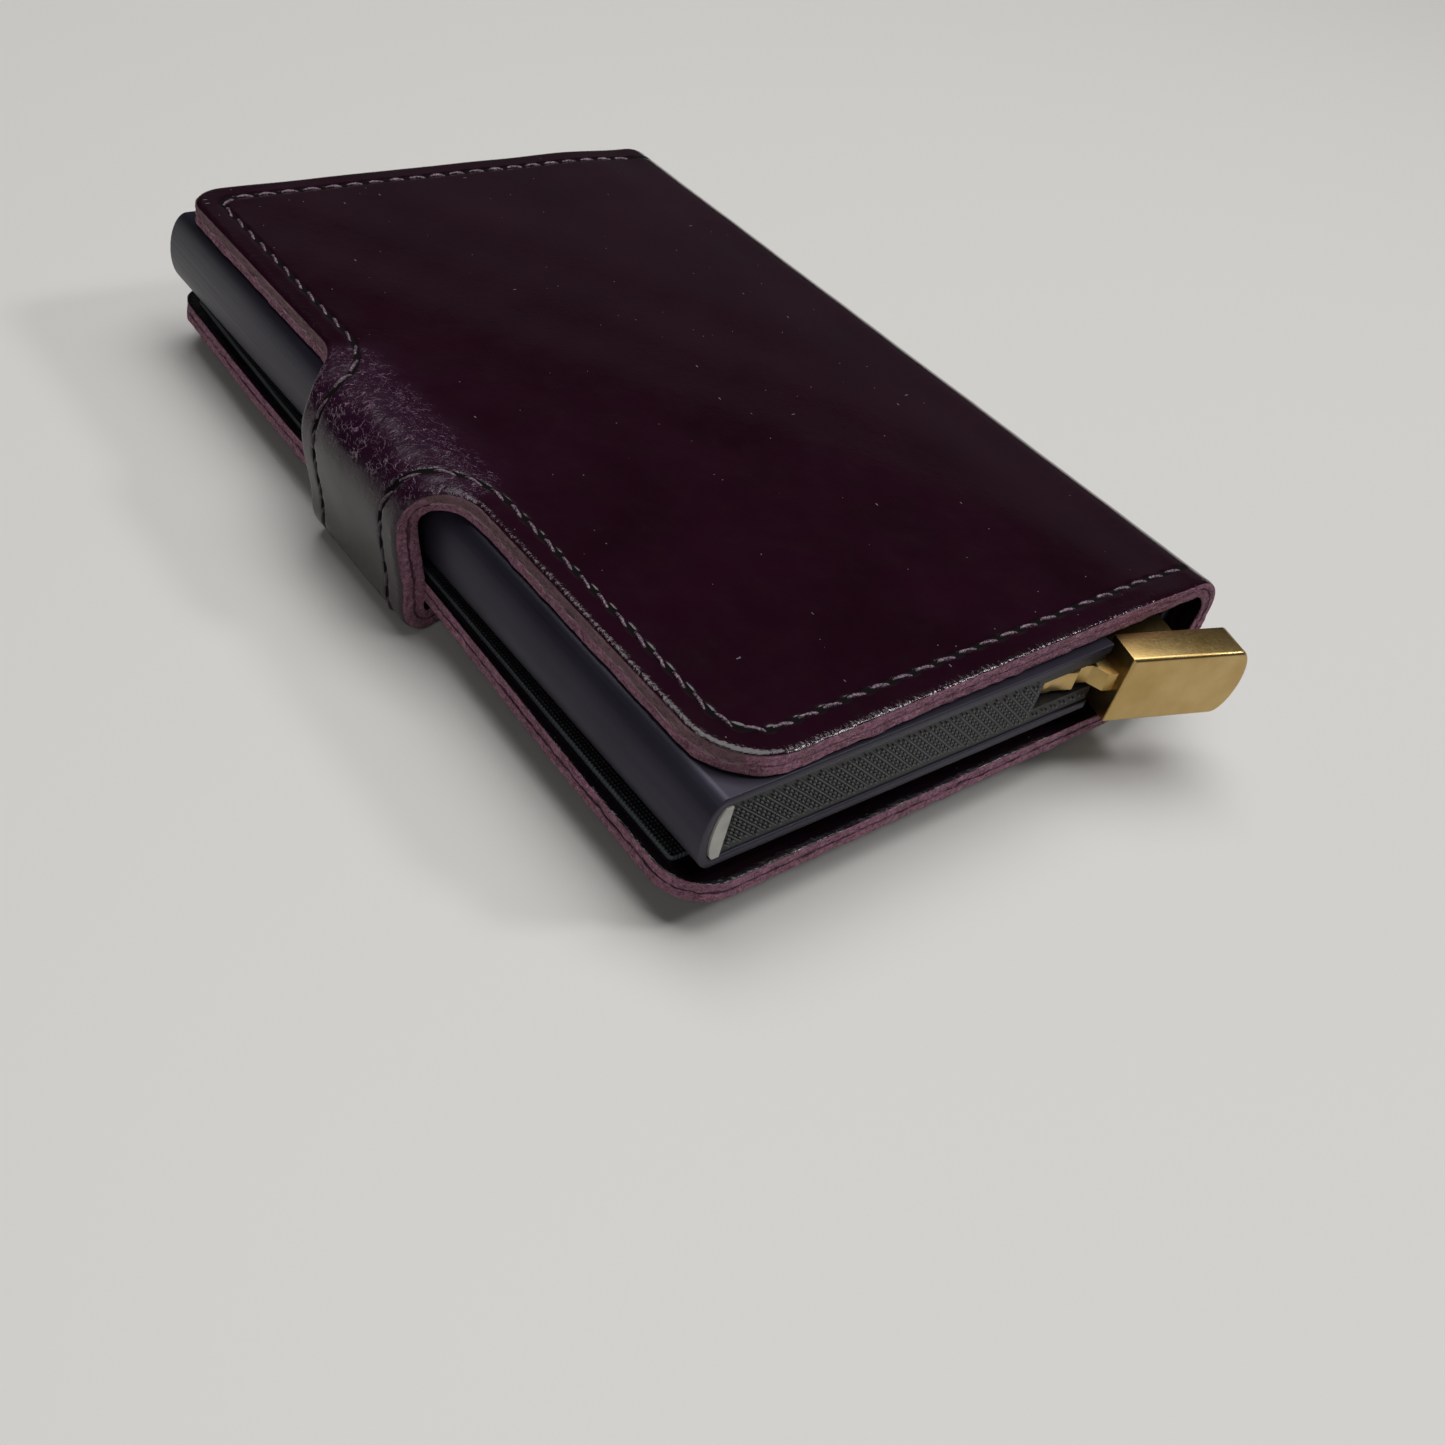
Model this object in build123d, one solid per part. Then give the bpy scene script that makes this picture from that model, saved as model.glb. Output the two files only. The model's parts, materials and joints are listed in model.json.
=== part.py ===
"""Pop-up card wallet: an aluminium card case in a folded two-layer leather cover.

The cover wraps the case like a book: back panel on top, spine at +X, front cover below.
A strap runs from the back panel round the -X side and snaps to the front cover underneath.
A brass lever at the near end (-Y) pushes the cards out of the far end (+Y).

Every piece is drawn from one corner of the case: x = 0 just inside its strap side, y = 0 just
outside its lever end, z = 0 at its underside. The finished wallet is then set down with its base
centre at the origin.
"""
import math
import os

from build123d import *

# Card case
CASE_LEFT_X = -0.5
CASE_RIGHT_X = 62.1
CASE_NEAR_Y = 0.3
CASE_FAR_Y = 97.0
CASE_THICKNESS = 7.8
CASE_WALL = 1.0
CASE_SIDE_DEPTH = 1.9
NOTCH_START_X = 46.6
NOTCH_DEPTH = 4.3

# End cap and card retaining strips
CAP_FACE_Y = 0.5
CAP_INNER_Y = 9.0
CAP_LEFT_X = 2.1
CAP_RIGHT_X = 46.4
CAP_FIT_GAP = 0.05
ARM_SLOT_LEFT_X = 38.2
ARM_SLOT_BOTTOM_Z = 2.8
ARM_SLOT_TOP_Z = 5.9
ARM_SLOT_BACK_Y = 8.0
STRIP_INNER_OFFSET = 2.5
STRIP_FIT_GAP = 0.1
STRIP_FACE_Y = 0.2
STRIP_FAR_Y = 90.0
RIGHT_STRIP_NEAR_Y = 12.0

# Lever, drawn pressed home and then turned out to its rest position
PIVOT_X = 41.0
PIVOT_Y = 3.6
PIN_RADIUS = 0.9
PIN_CLEARANCE = 0.05
LEVER_REST_ANGLE = 18.0
PAD_LEFT_X = 48.2
PAD_FACE_Y = -0.1
PAD_BACK_Y = 3.6
PAD_SHRINK = 0.1
PAD_EDGE_RADIUS = 0.4
ARM_BOTTOM_Z = 3.2
ARM_TOP_Z = 5.2
EYE_RADIUS = 2.3
CARD_STEPS = 5
CARD_STEP_DEPTH = 1.2
STEP_LEFT_X = 48.6
STEP_RIGHT_X = 56.0
STEPS_BOTTOM_Z = 1.3
STEPS_TOP_Z = 6.5

# Leather: two layers bonded back to back
LAYER = 1.05
LEATHER = 2 * LAYER
TAPE = 0.2
NEAR_CORNER_RADIUS = 6.5
FAR_CORNER_RADIUS = 4.2
BACK_LEFT_X = 1.0
BACK_NEAR_Y = 1.0
BACK_FAR_Y = 97.0
COVER_LEFT_X = -1.3
COVER_NEAR_Y = -0.9
COVER_FAR_Y = 97.6
POCKET_SPACE = 1.35
SPINE_GAP = 0.5
SPINE_FOLD_RADIUS = 5.2

# Pockets sewn inside the front cover
TEXTILE_THICKNESS = 0.4
POCKET_THICKNESS = 0.36
TEXTILE_LEFT_X = -0.1
TEXTILE_RIGHT_X = 58.5
TEXTILE_NEAR_Y = 3.0
TEXTILE_FAR_Y = 94.0
POCKET_LEFT_X = 3.0
POCKET_RIGHT_X = 57.0
POCKET_NEAR_Y = 8.0
REAR_POCKET_FAR_Y = 84.0
FRONT_POCKET_FAR_Y = 66.0
POCKET_CORNER_RADIUS = 2.0

# Strap
STRAP_NEAR_Y = 41.5
STRAP_FAR_Y = 59.5
STRAP_OUTER_X = -3.9
STRAP_FLARE_RADIUS = 6.0
STRAP_LOWER_RADIUS = 3.4
STRAP_TIP_X = 20.0
STRAP_TIP_CORNER_RADIUS = 7.0
STRAP_TO_COVER_GAP = 0.5

# Snap fastener
SNAP_X = 10.5
STUD_BASE_RADIUS = 3.4
STUD_BASE_THICKNESS = 0.25
STUD_RADIUS = 1.4
STUD_LENGTH = 0.95
STUD_ROUNDING = 0.3
SOCKET_OUTER_RADIUS = 3.9
SOCKET_BORE_RADIUS = 2.5
SOCKET_FLOOR = 0.15
SNAP_HOLE_GAP = 0.05
POST_RADIUS = 1.1
EYELET_RADIUS = 3.9
EYELET_THICKNESS = 0.3
SNAP_CAP_RADIUS = 5.6
SNAP_CAP_THICKNESS = 0.8

# A fold's layers stop short of its middle, so that they never meet as it opens.
FOLD_MIDDLE_GAP = 0.16

# Levels, counted from the underside of the case
BACK_UNDERSIDE_Z = CASE_THICKNESS + TAPE
BACK_TOP_Z = BACK_UNDERSIDE_Z + LEATHER
COVER_TOP_Z = -POCKET_SPACE
COVER_UNDERSIDE_Z = COVER_TOP_Z - LEATHER
TIP_TOP_Z = COVER_UNDERSIDE_Z - STRAP_TO_COVER_GAP
TIP_UNDERSIDE_Z = TIP_TOP_Z - LEATHER
SPINE_OUTER_X = CASE_RIGHT_X + SPINE_GAP + LEATHER
STRAP_UPPER_RADIUS = BACK_LEFT_X - STRAP_OUTER_X
STRAP_MIDDLE_Y = (STRAP_NEAR_Y + STRAP_FAR_Y) / 2


# ---------------------------------------------------------------- drawing helpers

def box_section(x_low, x_high, z_low, z_high):
    """A rectangle in the XZ section, given by its limits."""
    middle = Pos((x_low + x_high) / 2, (z_low + z_high) / 2)
    return middle * Rectangle(x_high - x_low, z_high - z_low)


def along_y(section, y_low, y_high):
    """Extrude an XZ section from y_low to y_high."""
    return Pos(0, y_low, 0) * extrude(Plane.XZ * section, amount=-(y_high - y_low))


def upright(plan, z_low, z_high):
    """Extrude an XY outline from z_low to z_high."""
    return Pos(0, 0, z_low) * extrude(plan, amount=z_high - z_low)


def block(x_low, x_high, y_low, y_high, z_low, z_high):
    return upright(box_section(x_low, x_high, y_low, y_high), z_low, z_high)


def post(x, y, radius, z_low, z_high):
    return upright(Pos(x, y) * Circle(radius), z_low, z_high)


def round_corner(face, corner, radius):
    """Round the vertex of a flat outline that lies nearest to the given corner."""
    nearest = min(face.vertices(), key=lambda v: math.hypot(v.X - corner[0], v.Y - corner[1]))
    return fillet(nearest, radius)


def ring_sector(centre, inner_radius, outer_radius, start_angle, sweep):
    """A bent piece of sheet: the part of a ring between two angles, in degrees."""
    inner = CenterArc(centre, inner_radius, start_angle, sweep)
    outer = CenterArc(centre, outer_radius, start_angle, sweep)
    return make_face([inner, outer, Line(inner @ 0, outer @ 0), Line(inner @ 1, outer @ 1)])


# ---------------------------------------------------------------- folds in the leather

class Fold:
    """A right-angle fold. Its hinge axis runs along Y, near the middle of the leather.

    The leather on both sides stays on its own side of the hinge from folded to flat.
    side_x and side_z say which way the fold's outside points.
    """

    def __init__(self, outer_x, outer_z, radius, side_x, side_z):
        self.radius = radius
        self.side_x = side_x
        self.side_z = side_z
        self.centre = (outer_x - side_x * radius, outer_z - side_z * radius)
        arc_length = (radius - LAYER) * math.pi / 2
        reach = arc_length / 2
        self.hinge = (self.centre[0] + side_x * reach, self.centre[1] + side_z * reach)
        self.stop_angle = 90 - math.degrees(math.acos((reach - FOLD_MIDDLE_GAP) / radius))

    def sector(self, layer, level_end):
        """One layer of the arc beside the level leather, or beside the upright leather."""
        outer = self.radius - layer * LAYER
        level_direction = 90 * self.side_z
        upright_direction = 0 if self.side_x > 0 else 180
        turn = self.stop_angle * self.side_x * self.side_z
        if level_end:
            return ring_sector(self.centre, outer - LAYER, outer, level_direction, -turn)
        return ring_sector(self.centre, outer - LAYER, outer, upright_direction, turn)


TOP_FOLD = Fold(SPINE_OUTER_X, BACK_TOP_Z, SPINE_FOLD_RADIUS, 1, 1)
BOTTOM_FOLD = Fold(SPINE_OUTER_X, COVER_UNDERSIDE_Z, SPINE_FOLD_RADIUS, 1, -1)
STRAP_UPPER_FOLD = Fold(STRAP_OUTER_X, BACK_TOP_Z, STRAP_UPPER_RADIUS, -1, 1)
STRAP_LOWER_FOLD = Fold(STRAP_OUTER_X, TIP_UNDERSIDE_Z, STRAP_LOWER_RADIUS, -1, -1)


# ---------------------------------------------------------------- card case

def case_section(inset):
    """The case's section: flat above and below, with bulging, half-elliptical sides."""
    left = CASE_LEFT_X + CASE_SIDE_DEPTH
    right = CASE_RIGHT_X - CASE_SIDE_DEPTH
    middle = CASE_THICKNESS / 2
    radii = (CASE_SIDE_DEPTH - inset, middle - inset)
    return make_face([
        Line((left, inset), (right, inset)),
        EllipticalCenterArc((right, middle), *radii, start_angle=-90, arc_size=180),
        Line((right, CASE_THICKNESS - inset), (left, CASE_THICKNESS - inset)),
        EllipticalCenterArc((left, middle), *radii, start_angle=90, arc_size=180),
    ])


def make_housing():
    """Aluminium tube, open at the far end, with a corner cut away for the lever's pad."""
    tube = along_y(case_section(0) - case_section(CASE_WALL), CASE_NEAR_Y, CASE_FAR_Y)
    notch = block(NOTCH_START_X, CASE_RIGHT_X + 1, -1, NOTCH_DEPTH, -1, CASE_THICKNESS + 1)
    return tube - notch


def make_end_cap():
    """Plastic plug with a slot for the lever's arm and a hole for its pin."""
    plug = along_y(case_section(CASE_WALL + CAP_FIT_GAP), CAP_FACE_Y, CAP_INNER_Y)
    plug &= block(CAP_LEFT_X, CAP_RIGHT_X, 0, CASE_FAR_Y, 0, CASE_THICKNESS)
    plug -= block(ARM_SLOT_LEFT_X, CAP_RIGHT_X + 1, CAP_FACE_Y - 1, ARM_SLOT_BACK_Y,
                  ARM_SLOT_BOTTOM_Z, ARM_SLOT_TOP_Z)
    return plug - post(PIVOT_X, PIVOT_Y, PIN_RADIUS, 0, CASE_THICKNESS)


def make_pivot_pin():
    low = CASE_WALL + CAP_FIT_GAP
    return post(PIVOT_X, PIVOT_Y, PIN_RADIUS, low, CASE_THICKNESS - low)


def make_retaining_strip(x_low, x_high, near_y):
    """Strip that fills the rounded side of the case and grips the cards' edges."""
    filler = along_y(case_section(CASE_WALL + STRIP_FIT_GAP), near_y, STRIP_FAR_Y)
    return filler & block(x_low, x_high, 0, CASE_FAR_Y, 0, CASE_THICKNESS)


def make_mounting_tape():
    return block(7, 53, 10, 88, CASE_THICKNESS, BACK_UNDERSIDE_Z)


# ---------------------------------------------------------------- lever

def turned_to_rest(solid):
    about_pivot = Pos(PIVOT_X, PIVOT_Y, 0) * Rot(0, 0, -LEVER_REST_ANGLE) * Pos(-PIVOT_X, -PIVOT_Y, 0)
    return about_pivot * solid


def lever_pad():
    """Push pad that completes the case's corner when it is pressed home."""
    pad = along_y(case_section(PAD_SHRINK), PAD_FACE_Y, PAD_BACK_Y)
    pad &= block(PAD_LEFT_X, CASE_RIGHT_X, -1, NOTCH_DEPTH, 0, CASE_THICKNESS)
    face_edges = pad.faces().sort_by(Axis.Y)[0].edges()
    return fillet(face_edges, PAD_EDGE_RADIUS)


def lever_arm():
    """Flat arm from the pin to the pad, stepped along its front edge."""
    outline = make_face(Polyline(
        (0, 1.9), (7.6, 0.9), (PAD_LEFT_X - PIVOT_X + 1, 0.9), (PAD_LEFT_X - PIVOT_X + 1, -2.6),
        (6.2, -2.6), (5.2, -1.3), (4.0, -1.3), (3.2, -2.1), (-0.4, -2.1), (0, 0), (0, 1.9)))
    plan = Pos(PIVOT_X, PIVOT_Y) * (outline + Circle(EYE_RADIUS))
    return upright(plan, ARM_BOTTOM_Z, ARM_TOP_Z)


def lever_steps():
    """Staircase that lifts each card a little further than the one below it."""
    height = (STEPS_TOP_Z - STEPS_BOTTOM_Z) / CARD_STEPS
    stairs = block(STEP_LEFT_X, STEP_RIGHT_X, PAD_BACK_Y - 0.5, PAD_BACK_Y + CARD_STEP_DEPTH,
                   STEPS_BOTTOM_Z, STEPS_TOP_Z)
    for step in range(1, CARD_STEPS):
        reach = PAD_BACK_Y + CARD_STEP_DEPTH * (step + 1)
        stairs += block(STEP_LEFT_X, STEP_RIGHT_X, PAD_BACK_Y, reach,
                        STEPS_BOTTOM_Z + step * height, STEPS_TOP_Z)
    return stairs


def make_ejector_lever():
    lever = lever_pad() + lever_arm() + lever_steps()
    lever -= post(PIVOT_X, PIVOT_Y, PIN_RADIUS + PIN_CLEARANCE, 0, CASE_THICKNESS)
    return turned_to_rest(lever)


# ---------------------------------------------------------------- leather cover

def back_panel_plan():
    """Outline from above: rounded at the open side, flaring into the strap."""
    right = SPINE_OUTER_X + 1
    strap_end = STRAP_OUTER_X - 3
    plan = box_section(BACK_LEFT_X, right, BACK_NEAR_Y, BACK_FAR_Y)
    plan += box_section(strap_end, BACK_LEFT_X + 1, STRAP_NEAR_Y, STRAP_FAR_Y)
    plan = round_corner(plan, (BACK_LEFT_X, BACK_NEAR_Y), NEAR_CORNER_RADIUS)
    plan = round_corner(plan, (BACK_LEFT_X, BACK_FAR_Y), FAR_CORNER_RADIUS)
    for y in (STRAP_NEAR_Y, STRAP_FAR_Y):
        plan = round_corner(plan, (BACK_LEFT_X, y), STRAP_FLARE_RADIUS)
    return plan


def make_back_panel_layer(layer):
    """layer 0 is the outer leather, layer 1 the lining."""
    top = BACK_TOP_Z - layer * LAYER
    flat = box_section(BACK_LEFT_X, TOP_FOLD.centre[0], top - LAYER, top)
    section = flat + TOP_FOLD.sector(layer, True)
    panel = along_y(section, BACK_NEAR_Y, BACK_FAR_Y)
    strap_start = along_y(STRAP_UPPER_FOLD.sector(layer, True), BACK_NEAR_Y, BACK_FAR_Y)
    return (panel + strap_start) & upright(back_panel_plan(), 0, BACK_TOP_Z + 1)


def make_spine_layer(layer):
    outer = SPINE_OUTER_X - layer * LAYER
    wall = box_section(outer - LAYER, outer, BOTTOM_FOLD.centre[1], TOP_FOLD.centre[1])
    section = wall + TOP_FOLD.sector(layer, False) + BOTTOM_FOLD.sector(layer, False)
    return along_y(section, BACK_NEAR_Y, BACK_FAR_Y)


def front_cover_plan():
    plan = box_section(COVER_LEFT_X, SPINE_OUTER_X + 1, COVER_NEAR_Y, COVER_FAR_Y)
    plan = round_corner(plan, (COVER_LEFT_X, COVER_NEAR_Y), NEAR_CORNER_RADIUS)
    return round_corner(plan, (COVER_LEFT_X, COVER_FAR_Y), FAR_CORNER_RADIUS)


def make_front_cover_layer(layer):
    low = COVER_UNDERSIDE_Z + layer * LAYER
    flat = box_section(COVER_LEFT_X, BOTTOM_FOLD.centre[0], low, low + LAYER)
    section = flat + BOTTOM_FOLD.sector(layer, True)
    sheet = along_y(section, COVER_NEAR_Y, COVER_FAR_Y)
    sheet &= upright(front_cover_plan(), COVER_UNDERSIDE_Z - 1, COVER_TOP_Z + 1)
    sheet -= post(SNAP_X, STRAP_MIDDLE_Y, POST_RADIUS + SNAP_HOLE_GAP, COVER_UNDERSIDE_Z, COVER_TOP_Z)
    if layer == 1:
        sheet -= post(SNAP_X, STRAP_MIDDLE_Y, EYELET_RADIUS + SNAP_HOLE_GAP,
                      COVER_TOP_Z - EYELET_THICKNESS, COVER_TOP_Z)
    return sheet


def pocket_sheet(x_low, x_high, y_low, y_high, z_low, thickness):
    plan = box_section(x_low, x_high, y_low, y_high)
    for x in (x_low, x_high):
        for y in (y_low, y_high):
            plan = round_corner(plan, (x, y), POCKET_CORNER_RADIUS)
    return upright(plan, z_low, z_low + thickness)


def make_textile_pocket():
    return pocket_sheet(TEXTILE_LEFT_X, TEXTILE_RIGHT_X, TEXTILE_NEAR_Y, TEXTILE_FAR_Y,
                        COVER_TOP_Z, TEXTILE_THICKNESS)


def make_card_pocket(order, far_y):
    """Thin leather card pocket; order 0 lies on the textile, order 1 on the first pocket."""
    low = COVER_TOP_Z + TEXTILE_THICKNESS + order * POCKET_THICKNESS
    return pocket_sheet(POCKET_LEFT_X, POCKET_RIGHT_X, POCKET_NEAR_Y, far_y, low, POCKET_THICKNESS)


# ---------------------------------------------------------------- strap and snap

def make_strap_side_layer(layer):
    outer = STRAP_OUTER_X + layer * LAYER
    low = STRAP_LOWER_FOLD.centre[1]
    high = STRAP_UPPER_FOLD.centre[1]
    section = box_section(outer, outer + LAYER, low, high)
    section += STRAP_UPPER_FOLD.sector(layer, False) + STRAP_LOWER_FOLD.sector(layer, False)
    return along_y(section, STRAP_NEAR_Y, STRAP_FAR_Y)


def strap_tip_plan():
    plan = box_section(STRAP_OUTER_X - 1, STRAP_TIP_X, STRAP_NEAR_Y, STRAP_FAR_Y)
    for y in (STRAP_NEAR_Y, STRAP_FAR_Y):
        plan = round_corner(plan, (STRAP_TIP_X, y), STRAP_TIP_CORNER_RADIUS)
    return plan


def make_strap_tip_layer(layer):
    """layer 0 is the outer leather, with the cap's hole; layer 1 holds the socket."""
    low = TIP_UNDERSIDE_Z + layer * LAYER
    flat = box_section(STRAP_LOWER_FOLD.centre[0], STRAP_TIP_X, low, low + LAYER)
    section = flat + STRAP_LOWER_FOLD.sector(layer, True)
    sheet = along_y(section, STRAP_NEAR_Y, STRAP_FAR_Y)
    sheet &= upright(strap_tip_plan(), TIP_UNDERSIDE_Z - 1, TIP_TOP_Z + 1)
    hole_radius = POST_RADIUS if layer == 0 else SOCKET_OUTER_RADIUS
    return sheet - post(SNAP_X, STRAP_MIDDLE_Y, hole_radius + SNAP_HOLE_GAP, low, low + LAYER)


def make_snap_socket():
    """Cup that the stud presses into; it fills the hole in the strap's lining."""
    low = TIP_UNDERSIDE_Z + LAYER
    cup = post(SNAP_X, STRAP_MIDDLE_Y, SOCKET_OUTER_RADIUS, low, TIP_TOP_Z)
    return cup - post(SNAP_X, STRAP_MIDDLE_Y, SOCKET_BORE_RADIUS, low + SOCKET_FLOOR, TIP_TOP_Z)


def make_snap_cap():
    """Domed head outside the strap, with the post that holds the socket."""
    head = post(SNAP_X, STRAP_MIDDLE_Y, SNAP_CAP_RADIUS,
                TIP_UNDERSIDE_Z - SNAP_CAP_THICKNESS, TIP_UNDERSIDE_Z)
    rim = head.faces().sort_by(Axis.Z)[0].edges()
    head = fillet(rim, SNAP_CAP_THICKNESS * 0.9)
    return head + post(SNAP_X, STRAP_MIDDLE_Y, POST_RADIUS, TIP_UNDERSIDE_Z, TIP_UNDERSIDE_Z + LAYER)


def make_snap_stud():
    """Stud below the front cover that presses into the strap's socket."""
    base_low = COVER_UNDERSIDE_Z - STUD_BASE_THICKNESS
    base = post(SNAP_X, STRAP_MIDDLE_Y, STUD_BASE_RADIUS, base_low, COVER_UNDERSIDE_Z)
    peg = post(SNAP_X, STRAP_MIDDLE_Y, STUD_RADIUS, base_low - STUD_LENGTH, base_low)
    peg = fillet(peg.faces().sort_by(Axis.Z)[0].edges(), STUD_ROUNDING)
    return base + peg


def make_snap_eyelet():
    """Flange inside the front cover, with the post that holds the stud."""
    flange = post(SNAP_X, STRAP_MIDDLE_Y, EYELET_RADIUS, COVER_TOP_Z - EYELET_THICKNESS, COVER_TOP_Z)
    return flange + post(SNAP_X, STRAP_MIDDLE_Y, POST_RADIUS, COVER_UNDERSIDE_Z, COVER_TOP_Z)


# ---------------------------------------------------------------- the wallet

def make_wallet():
    left_strip_end = CASE_LEFT_X + STRIP_INNER_OFFSET
    right_strip_end = CASE_RIGHT_X - STRIP_INNER_OFFSET
    return {
        "housing": make_housing(),
        "end_cap": make_end_cap(),
        "lever_pivot_pin": make_pivot_pin(),
        "retaining_strip_left": make_retaining_strip(CASE_LEFT_X, left_strip_end, STRIP_FACE_Y),
        "retaining_strip_right": make_retaining_strip(right_strip_end, CASE_RIGHT_X,
                                                      RIGHT_STRIP_NEAR_Y),
        "mounting_tape": make_mounting_tape(),
        "ejector_lever": make_ejector_lever(),
        "back_panel_outer": make_back_panel_layer(0),
        "back_panel_lining": make_back_panel_layer(1),
        "spine_outer": make_spine_layer(0),
        "spine_lining": make_spine_layer(1),
        "front_cover_outer": make_front_cover_layer(0),
        "front_cover_lining": make_front_cover_layer(1),
        "textile_pocket": make_textile_pocket(),
        "card_pocket_rear": make_card_pocket(0, REAR_POCKET_FAR_Y),
        "card_pocket_front": make_card_pocket(1, FRONT_POCKET_FAR_Y),
        "snap_stud": make_snap_stud(),
        "snap_stud_eyelet": make_snap_eyelet(),
        "strap_side_outer": make_strap_side_layer(0),
        "strap_side_lining": make_strap_side_layer(1),
        "strap_tip_outer": make_strap_tip_layer(0),
        "strap_tip_lining": make_strap_tip_layer(1),
        "snap_socket": make_snap_socket(),
        "snap_cap": make_snap_cap(),
    }


def base_centre(solids):
    """Middle of the underside of the box around all the pieces."""
    boxes = [solid.bounding_box() for solid in solids.values()]
    x = (min(box.min.X for box in boxes) + max(box.max.X for box in boxes)) / 2
    y = (min(box.min.Y for box in boxes) + max(box.max.Y for box in boxes)) / 2
    return x, y, min(box.min.Z for box in boxes)


wallet = make_wallet()
origin = base_centre(wallet)
set_down = Pos(-origin[0], -origin[1], -origin[2])

os.makedirs("parts", exist_ok=True)
for name, solid in wallet.items():
    export_step(set_down * solid, f"parts/{name}.step")

print("origin of the drawing in the finished frame:", [round(-value, 4) for value in origin])
hinge_lines = {"top_fold": TOP_FOLD, "bottom_fold": BOTTOM_FOLD,
               "strap_upper_fold": STRAP_UPPER_FOLD, "strap_lower_fold": STRAP_LOWER_FOLD}
for name, fold in hinge_lines.items():
    print(name, "hinge at x, z:", round(fold.hinge[0] - origin[0], 3), round(fold.hinge[1] - origin[2], 3))
print("lever pivot at x, y:", round(PIVOT_X - origin[0], 3), round(PIVOT_Y - origin[1], 3))
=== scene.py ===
"""Looks of the pop-up card wallet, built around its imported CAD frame.

The leather is drawn flat, as one sheet that runs from the strap's tip over the back panel, round
the spine and along the front cover, and is then folded along a path read from the frame. Flat
places are (u, y, t) in millimetres: u along the fold path, y across it, t outward from the glue
line between the two layers. Work is in millimetres, and meshes are written in metres.
"""
import json
import math

import bpy
import numpy as np
from numpy.linalg import norm
from mathutils import Euler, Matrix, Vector, noise
from mathutils.geometry import delaunay_2d_cdt


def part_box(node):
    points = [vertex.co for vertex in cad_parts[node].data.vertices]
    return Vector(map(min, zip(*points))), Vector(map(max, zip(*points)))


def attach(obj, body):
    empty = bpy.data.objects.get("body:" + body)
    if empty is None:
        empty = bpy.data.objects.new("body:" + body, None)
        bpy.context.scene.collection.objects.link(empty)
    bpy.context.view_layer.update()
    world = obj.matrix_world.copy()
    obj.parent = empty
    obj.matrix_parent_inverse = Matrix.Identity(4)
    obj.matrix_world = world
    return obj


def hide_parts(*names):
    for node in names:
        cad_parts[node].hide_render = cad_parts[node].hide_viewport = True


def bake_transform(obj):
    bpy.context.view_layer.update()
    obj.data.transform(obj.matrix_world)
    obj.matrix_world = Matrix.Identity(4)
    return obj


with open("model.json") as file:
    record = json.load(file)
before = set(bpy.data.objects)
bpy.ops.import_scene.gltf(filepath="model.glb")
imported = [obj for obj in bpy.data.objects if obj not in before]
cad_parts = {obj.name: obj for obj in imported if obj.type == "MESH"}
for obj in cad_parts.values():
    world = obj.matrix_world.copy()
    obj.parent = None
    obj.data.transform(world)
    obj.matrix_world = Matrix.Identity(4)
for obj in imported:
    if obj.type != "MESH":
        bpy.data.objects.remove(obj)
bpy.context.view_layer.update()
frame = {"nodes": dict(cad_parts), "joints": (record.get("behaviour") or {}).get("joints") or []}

MM = 0.001
scene = bpy.context.scene


# ------ measures from the frame

def box_mm(node):
    low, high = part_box(node)
    return np.array(low) / MM, np.array(high) / MM


def hinge_mm(name):
    joint = next(j for j in frame["joints"] if j["name"] == name)
    return np.array(joint["pos_m"]) / MM


CASE_LOW = box_mm("housing")[0]
PANEL_HIGH = box_mm("back_panel_outer")[1]
LAYER = PANEL_HIGH[2] - box_mm("back_panel_lining")[1][2]
COVER_LOW, COVER_HIGH = box_mm("front_cover_outer")
TIP_LOW, TIP_HIGH = box_mm("strap_tip_outer")
SPINE_LOW, SPINE_HIGH = box_mm("spine_outer")
STRAP_LOW, STRAP_HIGH = box_mm("strap_side_outer")
TEXTILE_LOW, TEXTILE_HIGH = box_mm("textile_pocket")

PANEL_SIDE_INSET = 1.5
PANEL_LEFT_X = CASE_LOW[0] + PANEL_SIDE_INSET
NEAR_CORNER_RADIUS = 6.5
FAR_CORNER_RADIUS = 4.2
FLARE_RADIUS = 6.0
TIP_CORNER_RADIUS = 7.0
STEP_EASING_RADIUS = 12.0
COVER_CORNER_RADIUS = 4.8
# The near edges are cut a little askew: the panel is longer at its corner, both shorter by the spine
CORNER_EXTRA = 0.7
SPINE_SHORTFALL = 0.8
# Where the edge steps in from the spine to the cover, past the spine's middle and its lower fold
STEP_START, STEP_END = 2.2, 3.2

# Thread
STITCH_INSET = 2.7
STITCH_PITCH = 2.65
STITCH_SLANT = 0.2
SEAM_PAST_TOP_FOLD, SEAM_PAST_COVER_FOLD = 1.5, 1.0
THREAD_RADIUS = 0.17
THREAD_SINK, THREAD_RISE = 0.34, 0.32
THREAD_PLIES = 3
PLY_RELIEF = 0.16
PLY_TWIST = 9.0
GROOVE_DEPTH, GROOVE_WIDTH = 0.05, 0.22
HOLE_DEPTH, HOLE_WIDTH, HOLE_LENGTH = 0.2, 0.2, 0.3

# Cut edge: how far each side's face stands proud of its layer, and how far it falls at the edge
FACE_RISE = {1: 0.18, -1: 0.0}
EDGE_DROP = {1: 0.24, -1: 0.08}
SHOULDER_WIDTH = 0.75


def fold_radius(outer, hinge):
    """Outer radius of a right-angle fold whose hinge is halfway along its glue line."""
    return (abs(outer - hinge) - LAYER * math.pi / 4) / (1 - math.pi / 4)


# ------ the fold path

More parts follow.
